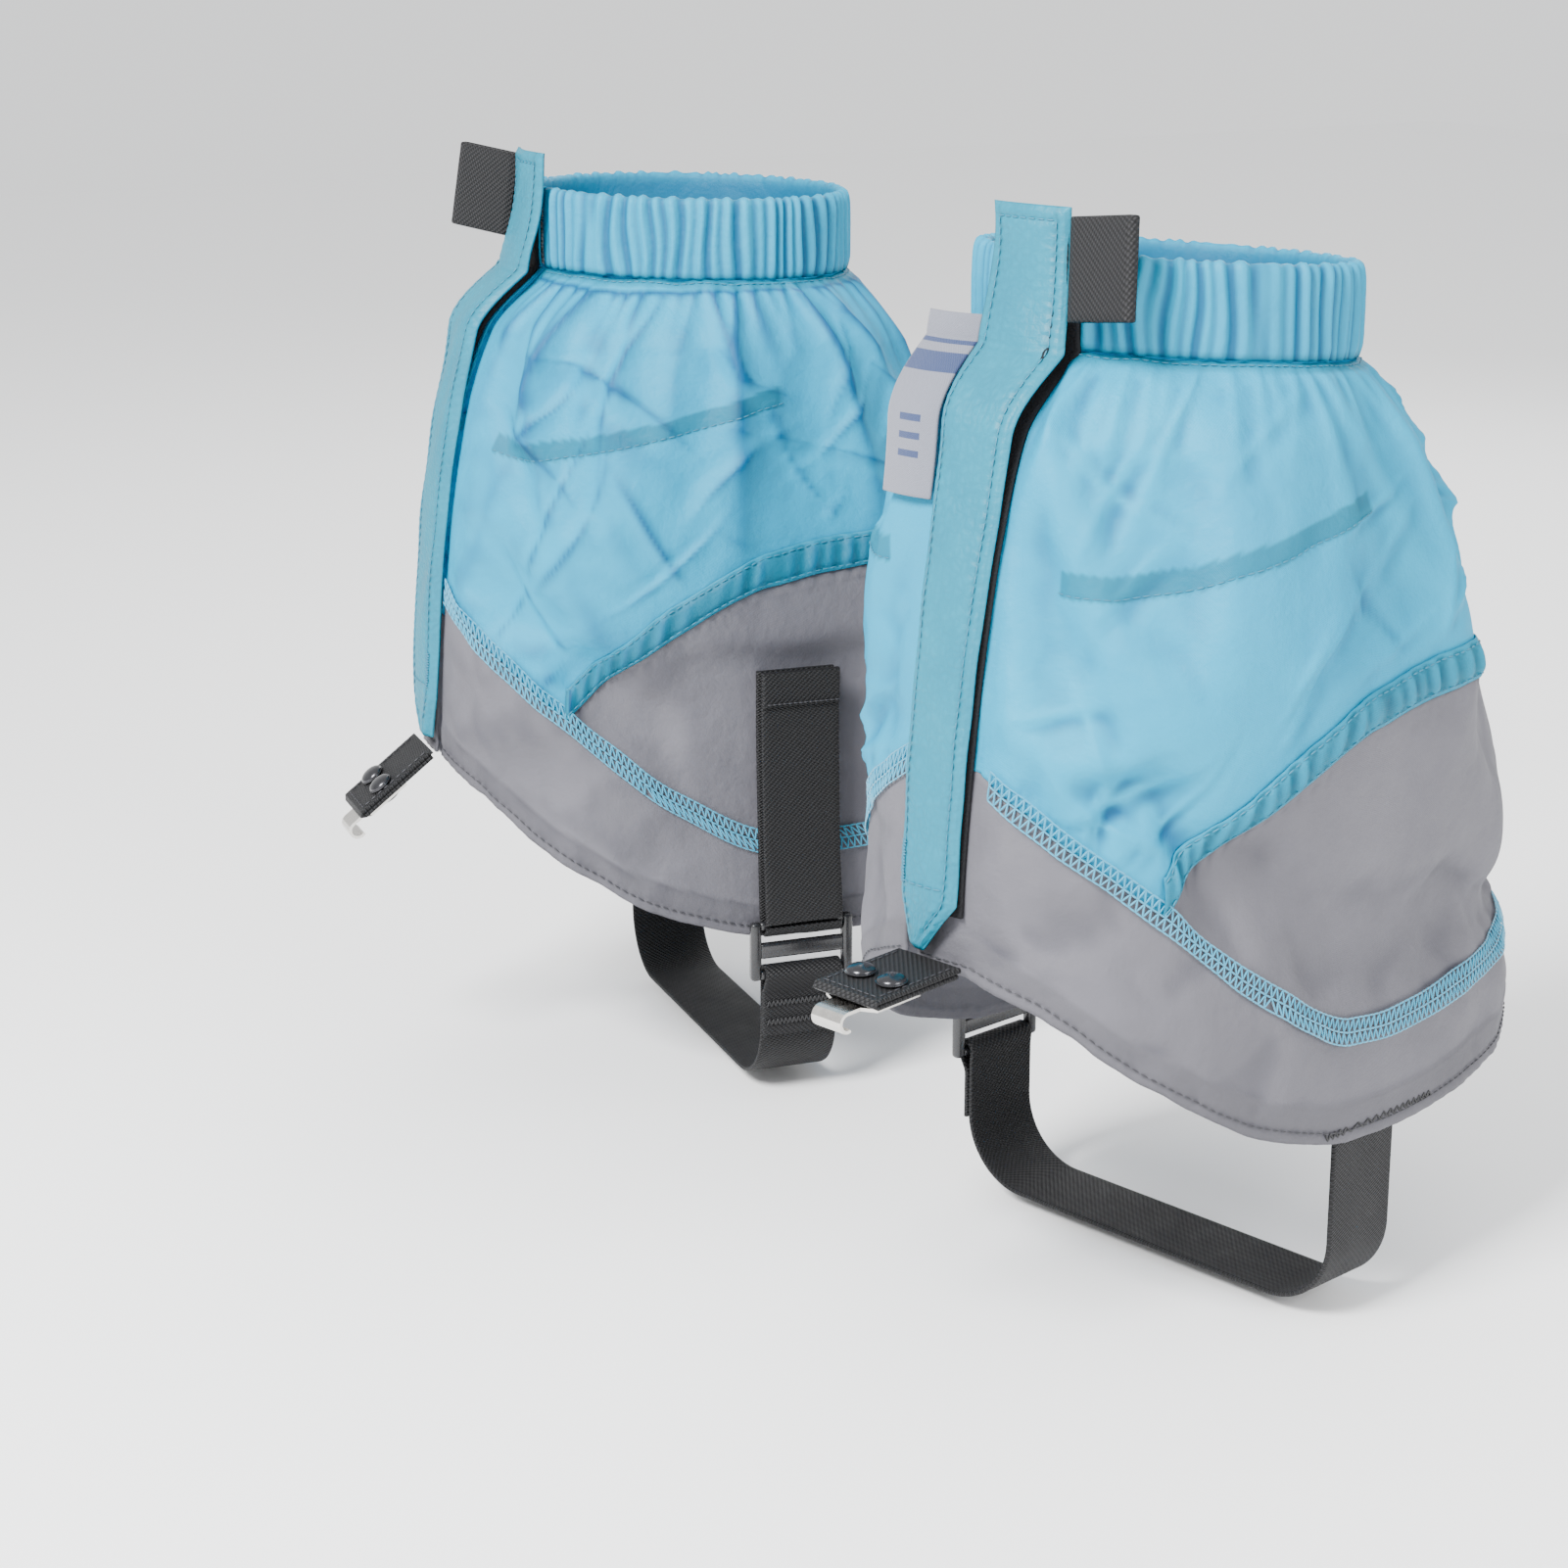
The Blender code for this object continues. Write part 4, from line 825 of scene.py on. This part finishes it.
# ------------------------------------------------------------------ webbing straps
# Black polyester webbing, 25 mm wide: twill with a pale fleck in diagonal rows and a plain selvage.
# One strap runs under the boot; the adjuster comes down the skirt, round the slider, and its tail
# folds back up onto its own hook-and-loop tape.
webbing = Finish("black_webbing", Specular_IOR_Level=0.3)
flat, along = flat_axes(webbing)
ribs = ((flat + along * 0.45) * (2 * math.pi / 0.00165)).math("SINE")
picks = (along * (2 * math.pi / 0.0011)).math("SINE")
dots = (ribs * picks * 0.5 + 0.5).math("POWER", 2.0)
wear = webbing.noise(webbing.place(), 60.0, 4.0)
webbing.set("Base Color", webbing.colours(dots * (wear * 0.8 + 0.4), (0.0015, 0.0015, 0.0018),
                                          (0.022, 0.022, 0.025)))
webbing.set("Normal", webbing.bump(ribs * picks, 0.00022, 0.9))
webbing.set("Roughness", wear * 0.3 + 0.45)

tape = Finish("hook_and_loop", Specular_IOR_Level=0.2)
fluff = tape.noise(tape.place(), 1900.0, 3.0)
tape.set("Base Color", tape.colours(fluff, (0.003, 0.003, 0.0035), (0.020, 0.020, 0.023)))
tape.set("Normal", tape.bump(fluff, 0.0005, 1.0))
tape.set("Roughness", fluff * 0.3 + 0.65)
EDGE = np.array([(-1.0, 0.5), (-0.985, 0.12), (-0.95, 0.0), (-0.80, 0.03), (-0.4, 0.0), (0.0, 0.02),
                 (0.4, 0.0), (0.80, 0.03), (0.95, 0.0), (0.985, 0.12), (1.0, 0.5), (0.985, 0.88),
                 (0.95, 1.0), (0.80, 0.97), (0.4, 1.0), (0.0, 0.98), (-0.4, 1.0), (-0.80, 0.97),
                 (-0.95, 1.0), (-0.985, 0.88)])


def strip(name, side, back, front, across, half, finish, body, nodes, step=0.0012):
    """Flat strip between its back and front faces' centre lines, as wide as two halves."""
    back, front = np.array(back, float), np.array(front, float)
    middle = (back + front) / 2
    length = np.r_[0, np.cumsum(np.linalg.norm(np.diff(middle, axis=0), axis=1))]
    where = np.linspace(0, length[-1], max(3, int(length[-1] / step)))
    across = np.broadcast_to(np.array(across, float), back.shape)
    back, front, across = (np.stack([np.interp(where, length, line[:, k]) for k in range(3)], -1)
                           for line in (back, front, across))
    across = across / np.linalg.norm(across, axis=1, keepdims=True)
    a, o = EDGE[:, 0][None, :, None], EDGE[:, 1][None, :, None]
    points = back[:, None] * (1 - o) + front[:, None] * o + across[:, None] * a * half
    rows, ring = len(where), len(EDGE)
    faces = [(i * ring + j, i * ring + (j + 1) % ring, (i + 1) * ring + (j + 1) % ring, (i + 1) * ring + j)
             for i in range(rows - 1) for j in range(ring)]
    faces += [tuple(range(ring - 1, -1, -1)), tuple((rows - 1) * ring + j for j in range(ring))]
    mesh = bpy.data.meshes.new(side + "_" + name)
    mesh.from_pydata(stand(side, points).reshape(-1, 3).tolist(), [], faces)
    layer = mesh.uv_layers.new(name="cloth")
    corners = np.empty(len(mesh.loops), int)
    mesh.loops.foreach_get("vertex_index", corners)
    flat_uv = np.stack([EDGE[corners % ring, 0] * half, where[corners // ring]], -1)
    layer.data.foreach_set("uv", flat_uv.astype(np.float32).ravel())
    mesh.materials.append(finish.mat)
    work = bmesh.new()
    work.from_mesh(mesh)
    bmesh.ops.recalc_face_normals(work, faces=work.faces)
    work.to_mesh(mesh)
    work.free()
    obj = bpy.data.objects.new(side + "_" + name, mesh)
    bpy.context.collection.objects.link(obj)
    only(obj)
    bpy.ops.object.shade_smooth_by_angle(angle=math.radians(50))
    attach(obj, body)
    if nodes:
        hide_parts(*[side + "_" + node for node in nodes])


STRAP_Y = 0.0095


def side_x(height):
    return float(abs(form(90.0, max(float(height), FORM_Z[0]))[..., 0]))


def spot(x, z, y=STRAP_Y):
    return np.array([x, y, z])


WEB, GAP, HALF = 0.0014, 0.0004, 0.0125
STACKED, BAR_REACH, BAR_R = 0.0023, 0.0054, 0.00201
UPPER_BAR, LOWER_BAR, SLIDER_Z = 0.0579, 0.0421, 0.050
BEND, RIVET_Y = 0.019, -0.0185
level = side_x(SLIDER_Z)
Y = (0, 1, 0)
OUT = np.array([-1.0, 0, 0])


def round_bar(height, turn):
    """Directions round a slider bar from behind it to in front of it, and its middle."""
    turns = np.linspace(0, math.pi, 20)
    ways = np.stack([np.cos(turns), 0 * turns, turn * np.sin(turns)], -1)
    return ways, spot(-(level + BAR_REACH), height)


for side in ("left", "right"):
    body = side + "_gaiter"
    inside = side_x(0.0525) - 2 * GAP - WEB
    back = [spot(side_x(z) - 2 * GAP - WEB, z) for z in np.linspace(0.0675, 0.0525, 6)]
    front = [p + (WEB, 0, 0) for p in back]
    turns = np.linspace(0, math.pi / 2, 18)
    bottom = 0.004 + WEB
    for t in turns:
        p = spot(inside - BEND + BEND * math.cos(t), bottom + BEND - BEND * math.sin(t))
        back.append(p)
        front.append(p + WEB * np.array([math.cos(t), 0, -math.sin(t)]))
    leg = -(level + STACKED)
    for t in turns:
        p = spot(leg + BEND - BEND * math.sin(t), bottom + BEND - BEND * math.cos(t))
        back.append(p)
        front.append(p + WEB * np.array([-math.sin(t), 0, -math.cos(t)]))
    for z in np.linspace(bottom + 0.023, LOWER_BAR - 0.003, 4):
        back.append(spot(leg, z))
        front.append(spot(leg - WEB, z))
    ways, middle = round_bar(LOWER_BAR, 1)
    for way in ways:
        back.append(middle + way * (BAR_R + WEB))
        front.append(middle + way * BAR_R)
    folded = leg - WEB - GAP
    for z in np.linspace(LOWER_BAR - 0.006, LOWER_BAR - 0.020, 5):
        back.append(spot(folded - WEB, z))
        front.append(spot(folded, z))
    strip("instep_webbing", side, back, front, Y, HALF, webbing, body, ["instep_strap"])
    back, front = [], []
    for z in np.linspace(0.1365, UPPER_BAR + 0.004, 16):
        front.append(spot(-(side_x(z) + STACKED + WEB), z))
        back.append(spot(-(side_x(z) + STACKED), z))
    ways, middle = round_bar(UPPER_BAR, -1)
    for way in ways:
        front.append(middle + way * BAR_R)
        back.append(middle + way * (BAR_R + WEB))
    strip("adjuster_webbing", side, back, front, Y, HALF, webbing, body, ["adjuster_strap"])
    heights = np.linspace(UPPER_BAR + 0.0036, 0.133, 14)
    back = [spot(-(side_x(z) + 0.0041), z) for z in heights]
    strip("loop_patch", side, back, [p + 0.001 * OUT for p in back], Y, HALF * 0.9, tape, body,
          ["strap_loop_tape"])

    def lying(z, out):
        share = min(1.0, max(0.0, (z - UPPER_BAR - 0.004) / 0.016))
        bar = level + BAR_REACH + BAR_R
        return spot(-(bar + (side_x(z) + 0.0069 - bar) * share + out), z)

    heights = np.linspace(UPPER_BAR + 0.0012, 0.137, 40)
    strip("tail_webbing", side, [lying(z, 0) for z in heights], [lying(z, WEB) for z in heights], Y, HALF,
          webbing, side + "_tail", ["strap_tail"])
    heights = np.linspace(0.1265, 0.137, 10)
    strip("tail_hem", side, [lying(z, WEB + 0.00005) for z in heights],
          [lying(z, WEB + 0.0009) for z in heights], Y, HALF * 0.985, webbing, side + "_tail", [])
    heights = np.linspace(UPPER_BAR + 0.0336, 0.133, 10)
    strip("tail_hooks", side, [lying(z, -0.0014) for z in heights], [lying(z, -0.0004) for z in heights], Y,
          HALF * 0.9, tape, side + "_tail", ["strap_hook_tape"])
    # rows of thread: the tail's hem, the outer hem's bar tack and the two on the folded end
    ys = STRAP_Y + np.linspace(-0.0108, 0.0108, 14)
    starts = np.array([lying(0.1272, WEB + 0.00115) * (1, 0, 1) + (0, y, 0) for y in ys])
    starts[:, 2] = 0.1274
    ends = starts + (0, 0.0011, 0)
    threads(side + "_tail_stitches", stand(side, starts), stand(side, ends), 0.00025, grey_thread,
            side + "_tail")
    for label, x, z in (("hem", None, 0.0565), ("upper", folded - WEB, LOWER_BAR - 0.0095),
                        ("lower", folded - WEB, LOWER_BAR - 0.0155)):
        ys = np.linspace(-0.0112, 0.0112, 34)
        zs = z + 0.0009 * np.where(np.arange(34) % 2, 1, -1)
        if x is None:
            turn = 94.0 - np.degrees(ys / 0.075)
            line = draped(side, turn, zs, 0.0013)
        else:
            line = np.stack([x - 0.0003 + 0 * ys, STRAP_Y + ys, zs], -1)
        line = stand(side, line)
        threads(side + "_" + label + "_tack_thread", line[:-1], line[1:], 0.00030, black_thread, body,
                [side + "_" + label + "_bar_tack"])


# ------------------------------------------------------------------ slider
# Injection-moulded acetal ladder slider: two raised side bars and three round crossbars that the
# webbing is drawn through, glossy black with soft edges.
plastic = Finish("black_plastic", Coat_Weight=0.25, Coat_Roughness=0.2)
grain = plastic.noise(plastic.place(), 900.0, 3.0)
plastic.set("Base Color", plastic.colours(grain, (0.008, 0.008, 0.009), (0.016, 0.016, 0.018)))
plastic.set("Roughness", grain * 0.14 + 0.20)
plastic.set("Normal", plastic.bump(grain, 0.00003, 0.5))


def place_part(obj, side, points):
    """Stands points of the leg's own frame in the pair's frame; a mirrored part is turned outwards."""
    write_points(obj, stand(side, points))
    if side == "right":
        obj.data.flip_normals()


def soften(obj, bevel, segments):
    soft = obj.modifiers.new("soft", "BEVEL")
    soft.width, soft.segments, soft.limit_method = bevel, segments, "ANGLE"
    apply(obj, soft)


def part_block(size, bevel, segments=3):
    bpy.ops.mesh.primitive_cube_add(size=1)
    obj = bpy.context.object
    write_points(obj, read_points(obj) * size)
    soften(obj, bevel, segments)
    return obj


def join_parts(name, parts, finish, body, nodes, angle=40):
    bpy.ops.object.select_all(action="DESELECT")
    for part in parts:
        part.select_set(True)
    bpy.context.view_layer.objects.active = parts[0]
    bpy.ops.object.join()
    obj = bpy.context.object
    obj.name = obj.data.name = name
    obj.data.materials.clear()
    obj.data.materials.append(finish.mat)
    bpy.ops.object.shade_smooth_by_angle(angle=math.radians(angle))
    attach(obj, body)
    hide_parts(*nodes)


for side in ("left", "right"):
    centre_x = -(level + 0.0041 + 0.0013)
    parts = []
    for y in (-0.0149, 0.0149):
        rail = part_block((0.0032, 0.0034, 0.0186), 0.0011)
        place_part(rail, side, read_points(rail) + (centre_x, STRAP_Y + y, SLIDER_Z))
        parts.append(rail)
    for z, wide in ((UPPER_BAR, 0.0028), (SLIDER_Z, 0.0050), (LOWER_BAR, 0.0028)):
        bar = part_block((0.0026, 0.0275, wide), 0.0010)
        place_part(bar, side, read_points(bar) + (centre_x, STRAP_Y, z))
        parts.append(bar)
    join_parts(side + "_slider_body", parts, plastic, side + "_gaiter", [side + "_slider"])


# ------------------------------------------------------------------ hook tab, rivets and lace hook
# A folded tab of webbing under the flap's point. Two dark plated rivets clench a nickel-plated
# spring-steel hook to it, which catches the boot's laces.
metal = Finish("gunmetal", Metallic=0.9, Coat_Weight=0.35, Coat_Roughness=0.12)
grain = metal.noise(metal.place(), 700.0, 4.0)
metal.set("Base Color", metal.colours(grain, (0.030, 0.030, 0.034), (0.060, 0.060, 0.066)))
metal.set("Roughness", grain * 0.18 + 0.16)
nickel = Finish("nickel", Metallic=1.0)
grain = nickel.noise(nickel.place(), 500.0, 4.0)
nickel.set("Base Color", nickel.colours(grain, (0.52, 0.50, 0.47), (0.68, 0.66, 0.62)))
nickel.set("Roughness", grain * 0.22 + 0.16)

for side in ("left", "right"):
    slope = math.radians(3.0 if side == "left" else 38.0)
    root = skin(side, 0.0, 0.1050, 0.0022)

    def tab_frame(p):
        """From the hook tab's own axes to the leg's frame."""
        p = np.asarray(p, float)
        y = p[..., 1] * math.cos(slope) - p[..., 2] * math.sin(slope)
        z = p[..., 1] * math.sin(slope) + p[..., 2] * math.cos(slope)
        return np.stack([p[..., 0], y, z], -1) + root

    turns = np.linspace(0, math.pi, 16)
    back = [(0, y, WEB) for y in np.linspace(0, -0.0280, 16)]
    front = [(0, y, 2 * WEB) for y in np.linspace(0, -0.0280, 16)]
    for t in turns[1:]:
        back.append((0, -0.0286 - 0.00005 * math.sin(t), WEB + 0.00005 * math.cos(t)))
        front.append((0, -0.0286 - WEB * math.sin(t), WEB + WEB * math.cos(t)))
    back += [(0, y, WEB) for y in np.linspace(-0.0280, -0.001, 16)]
    front += [(0, y, 0) for y in np.linspace(-0.0280, -0.001, 16)]
    strip("tab_webbing", side, tab_frame(back), tab_frame(front), (1, 0, 0), 0.011, webbing,
          side + "_lace_tab", ["hook_tab"])
    line = []
    for x in (-0.0092, 0.0092):
        line.append(np.array([(x, y, 2 * WEB + 0.0001) for y in np.linspace(-0.002, -0.027, 40)]))
    line.append(np.array([(x, -0.0272, 2 * WEB + 0.0001) for x in np.linspace(-0.0092, 0.0092, 30)]))
    rows = [dashes(stand(side, tab_frame(row)), 0.0024) for row in line]
    threads(side + "_tab_stitches", *joined(rows), 0.00024, grey_thread, side + "_lace_tab")
    for number, x in enumerate((-0.0053, 0.0053), 1):
        parts = []
        for size, height, low in ((0.0040, 0.0006, 2 * WEB + 0.0007), (0.0015, 0.0056, 0.0010),
                                  (0.0032, 0.0006, -0.0017)):
            bpy.ops.mesh.primitive_cylinder_add(vertices=40, radius=size, depth=height)
            disc = bpy.context.object
            soften(disc, 0.00025, 2)
            place_part(disc, side, tab_frame(read_points(disc) + (x, RIVET_Y, low)))
            parts.append(disc)
        bpy.ops.mesh.primitive_uv_sphere_add(segments=40, ring_count=20, radius=1)
        dome = bpy.context.object
        shape = read_points(dome) * (0.0038, 0.0038, 0.0017)
        place_part(dome, side, tab_frame(shape + (x, RIVET_Y, 2 * WEB + 0.0009)))
        parts.append(dome)
        join_parts(f"{side}_rivet_dome_{number}", parts, metal, side + "_lace_tab",
                   [f"{side}_rivet_{number}"])
    hook = bpy.data.objects[side + "_lace_hook"]
    hook.data.materials.clear()
    hook.data.materials.append(nickel.mat)


# ------------------------------------------------------------------ front flap
# A strip of crinkled ripstop nylon folded double, sewn to the tube along its inner side and held
# shut by hook-and-loop tape. Its edges are topstitched and its low end tapers over the hook tab.
ripstop = Finish("flap_nylon", Specular_IOR_Level=0.3)
flat, along = flat_axes(ripstop)
cracks = ripstop.node("TexVoronoi", {"feature": "DISTANCE_TO_EDGE"},
                      {"Vector": ripstop.place("UV"), "Scale": 430.0, "Randomness": 1.0})
lumps = ripstop.noise(ripstop.place(), 480.0, 4.0)
cells = ((flat * (2 * math.pi / 0.0030)).math("SINE").math("POWER", 8.0)
         + (along * (2 * math.pi / 0.0030)).math("SINE").math("POWER", 8.0))
depth = lumps * 0.6 + cracks * 0.8 + cells * 0.05
pale = ripstop.noise(ripstop.place(), 70.0, 5.0)
tone = ripstop.colours(pale, (0.000, 0.120, 0.190), (0.002, 0.195, 0.280))
# painted highlight: the crinkle's raised parts lighter than its hollows
raised = ripstop.node("HueSaturation", {}, {"Value": 1.35, "Color": tone})
tone = ripstop.blend((depth - 0.35) * 1.1, tone, raised)
# painted shade along the stitched edges, from the fold level
ripstop.set("Base Color", ripstop.blend(ripstop.node("Clamp", {}, {0: ripstop.level("fold")}), tone,
                                        ripstop.node("HueSaturation", {}, {"Value": 0.55, "Color": tone})))
ripstop.set("Normal", ripstop.bump(depth, 0.0005, 0.7))
ripstop.set("Roughness", pale * 0.2 + 0.38)


FLAP_LOW, FLAP_LONG, STITCH_IN = 0.110, 0.176, 0.0032


def angle_across(x, height):
    """Angle at which the form's front has a given place across."""
    half, _, power, _ = section(0.0, height)
    aside = CUFF_ASIDE * np.clip((height / CUFF_BASE - 0.7) / 0.3, 0, 1)
    share = (x - aside) / half
    return np.degrees(np.sign(share) * np.arcsin(np.minimum(np.abs(share), 1) ** (power / 2)))


def flap_at(side, x, height, out):
    """The flap over the tube's front; it bridges the hollow under the cuff."""
    x, height = np.broadcast_arrays(np.asarray(x, float), np.asarray(height, float))
    bridge = 0.006 * np.exp(-((height - (CUFF_BASE - 0.004)) / 0.017) ** 2)
    base = np.minimum(height, CUFF_BASE + CUFF_HEIGHT)
    p = skin(side, angle_across(x, base), base, 0.0042 + bridge + out)
    p[..., 2] += height - base
    return p


def flap_half(height):
    low = 0.006 + 0.013 * (height - 0.110) / 0.013
    high = 0.019 + 0.004 * np.clip((height - 0.123) / (CUFF_BASE - 0.123), 0, 1)
    return np.where(height < 0.123, low, high) / 2


def flap_middle(height):
    return (-0.0005 - 0.003 * np.clip((0.123 - height) / 0.013, 0, 1)
            - 0.0035 * np.clip((height - 0.215) / (0.286 - 0.215), 0, 1))


for side in ("left", "right"):
    wild = np.random.default_rng(3 if side == "left" else 8)
    waves = [(wild.uniform(60, 300), wild.uniform(150, 600), wild.uniform(0, 6)) for _ in range(9)]

    def flap_lay(u, v, out=0.0):
        height = FLAP_LOW + FLAP_LONG * v
        x = flap_middle(height) + flap_half(height) * (2 * u - 1)
        ripple = sum(np.sin(height * a + x * b + c) for a, b, c in waves) / 9
        inset = np.minimum(np.minimum(u, 1 - u) * 2 * flap_half(height), np.minimum(v, 1 - v) * FLAP_LONG)
        stitched = 0.00035 * np.exp(-((inset - STITCH_IN) / 0.0007) ** 2)
        roll = 0.0009 * smooth(0.0016, 0.0, inset)
        root = 0.0016 * smooth(0.0035, 0.0, u * 2 * flap_half(height)) * smooth(0.26, 0.24, height)
        dimple = np.cos(height * 2 * math.pi / 0.0027) * np.exp(-((inset - STITCH_IN) / 0.002) ** 2)
        wave = 0.0007 * ripple + 0.00012 * dimple
        return stand(side, flap_at(side, x, height, 0.0010 + out + wave - stitched - roll - root))

    flap, u, v = new_grid(side + "_flap_cloth", 320, 44, flap_lay, (0.023, 0.176))
    inset = np.minimum(u, 1 - u) * 2 * flap_half(FLAP_LOW + FLAP_LONG * v)
    # painted shade along the pressed-in line of the topstitching
    set_level(flap, "fold", 0.5 * np.exp(-((inset - STITCH_IN) / 0.0005) ** 2))
    heights = np.array([0.160, 0.215])
    sewn = stand(side, flap_at(side, flap_middle(heights) - flap_half(heights), heights, 0))
    inwards = np.cross((sewn[1] - sewn[0]) * (-1 if side == "left" else 1), (0, -1, 0))
    inwards *= np.sign(inwards[0]) * (1 if side == "left" else -1) / np.linalg.norm(inwards)
    finish_cloth(flap, side, ripstop, 0.0008, [side + "_front_flap"],
                 (side + "_gaiter", side + "_flap", sewn[0], sewn[0] + 0.0028 * inwards))
    side + "_hook_tape"
    rows = []
    for edge in (-1, 1):
        height = np.linspace(0.116, 0.283, 900)
        across = 0.5 + edge * (0.5 - STITCH_IN / (2 * flap_half(height)))
        rows.append(dashes(flap_lay(across, (height - FLAP_LOW) / FLAP_LONG, 0.0003), 0.0026))
    for high in (0.2826, 0.1270):
        inset = STITCH_IN / (2 * float(flap_half(high)))
        across = np.linspace(inset, 1 - inset, 120)
        rows.append(dashes(flap_lay(across, (high - FLAP_LOW) / FLAP_LONG + 0 * across, 0.0003), 0.0026))
    steps = np.arange(27)
    tack = flap_lay(0.15 + 0.045 * np.where(steps % 2, 1, -1),
                    (0.0165 + 0.0105 * steps / 26) / FLAP_LONG, 0.0003)
    rows.append((tack[:-1], tack[1:]))
    threads(side + "_flap_stitches", *joined(rows), 0.00022, dark_thread, side + "_flap")
    height = np.linspace(0.131, 0.284, 40)
    right = flap_middle(height) + flap_half(height) - 0.0015 - 0.0075
    strip("flap_loops", side, flap_at(side, right, height, -0.0014), flap_at(side, right, height, -0.0004),
          (1, 0, 0), 0.0075, tape, side + "_flap", ["loop_tape"])
    height = np.linspace(0.1200, CUFF_BASE + CUFF_HEIGHT - 0.001, 60)
    start = form(SLIT[0] + 1, height)[:, 0]
    end = flap_middle(np.maximum(height, 0.123)) + flap_half(np.maximum(height, 0.123)) + 0.0004

    def hooks_lay(u, v):
        high = height[0] + (height[-1] - height[0]) * v
        x = np.interp(high, height, start) * (1 - u) + np.interp(high, height, end) * u
        return stand(side, skin(side, angle_across(x, high), high, 0.0024 + 0 * x))

    hooks, u, v = new_grid(side + "_front_hooks", 160, 14, hooks_lay, (0.014, 0.16))
    finish_cloth(hooks, side, tape, 0.0010, [side + "_hook_tape"], side + "_gaiter")

    # pull tab: a loop of webbing sewn under a foot on the flap
    high, low = 0.2840, 0.2590
    edge_x = [float(flap_middle(z) + flap_half(z)) for z in (low, high)]
    ends = [flap_at(side, x, z, 0.0) for x, z in zip(edge_x, (low, high))]
    up = (ends[1] - ends[0]) / np.linalg.norm(ends[1] - ends[0])
    centre_z = (low + high) / 2
    foot_x = np.linspace(-0.010, -0.0003, 8) + (edge_x[0] + edge_x[1]) / 2
    foot = flap_at(side, foot_x, centre_z, -0.0003)
    strip("tab_foot_webbing", side, foot, foot + (0, -0.0010, 0), up, HALF * 0.98, webbing, side + "_flap",
          ["pull_tab_foot"])
    turn = math.radians({"left": 2.0, "right": 46.0}[side])
    way = np.array([math.cos(turn), -math.sin(turn), 0])
    way -= up * way.dot(up)
    way /= np.linalg.norm(way)
    third = np.cross(up, way)
    radius = 0.0006 + WEB
    edge = (ends[0] + ends[1]) / 2 + (radius + GAP, 0, 0)
    turns = np.linspace(math.pi / 2, -math.pi / 2, 22)
    outer = [(-0.0012, 0.0014), (0.0006, radius)]
    outer += [(0.019 - radius + radius * math.cos(t), radius * math.sin(t)) for t in turns]
    inner = [(-0.0012, 0.0004), (0.0006, 0.0006)]
    inner += [(0.019 - radius + 0.0006 * math.cos(t), 0.0006 * math.sin(t)) for t in turns]
    outer, inner = (outer + [(0.0006, -radius), (-0.0012, -0.0014)],
                    inner + [(0.0006, -0.0006), (-0.0012, -0.0004)])
    outer, inner = ([edge + way * x + third * y for x, y in line] for line in (outer, inner))
    strip("pull_loop_webbing", side, inner, outer, up, HALF, webbing, side + "_pull_tab_loop", ["pull_tab"],
          0.0006)


# ------------------------------------------------------------------ woven label
# A folded damask label, 17 x 41 mm, sewn by one edge into the left flap's seam: lilac-grey with
# navy stripes and bars.
label_cloth = Finish("woven_label", Sheen_Weight=0.25)
flat, along = flat_axes(label_cloth)
fine = weave(label_cloth, flat, along, 0.00050)


def within(value, low, high):
    return value.math("GREATER_THAN", low) * value.math("LESS_THAN", high)


stripes = within(along, 0.0270, 0.0312) + within(along, 0.0330, 0.0340)
bars = within(along, 0.0085, 0.0100) + within(along, 0.0125, 0.0140) + within(along, 0.0165, 0.0180)
mark = stripes.math("MAXIMUM", bars * within(flat, 0.0050, 0.0120))
ground = label_cloth.colours(fine * 0.5 + 0.5, (0.120, 0.128, 0.165), (0.185, 0.195, 0.240))
mark_tone = label_cloth.colours(fine * 0.5 + 0.5, (0.004, 0.018, 0.080), (0.008, 0.032, 0.120))
shown = label_cloth.node("Clamp", {}, {0: mark})
label_cloth.set("Base Color", label_cloth.blend(shown, ground, mark_tone))
label_cloth.set("Normal", label_cloth.bump(fine, 0.00008, 0.8))
label_cloth.set("Roughness", fine * 0.08 + 0.62)


def label_lay(u, v):
    height = 0.217 + 0.041 * v
    edge = flap_at("left", flap_middle(height) - flap_half(height), height, -0.0022)
    curl = 0.0012 * np.sin(u * math.pi) * (0.4 + 0.6 * v) - 0.0018 * u ** 2 * (1 - v)
    turn = math.radians(-3.0)
    x = edge[:, 0] - (0.0016 + 0.017 * u) * math.cos(turn)
    y = edge[:, 1] + (0.0016 + 0.017 * u) * math.sin(turn) - curl
    return stand("left", np.stack([x, y, edge[:, 2]], -1))


label, u, v = new_grid("left_label_cloth", 60, 26, label_lay, (0.017, 0.041))
finish_cloth(label, "left", label_cloth, 0.0007, ["left_woven_label"], "left_gaiter", False)
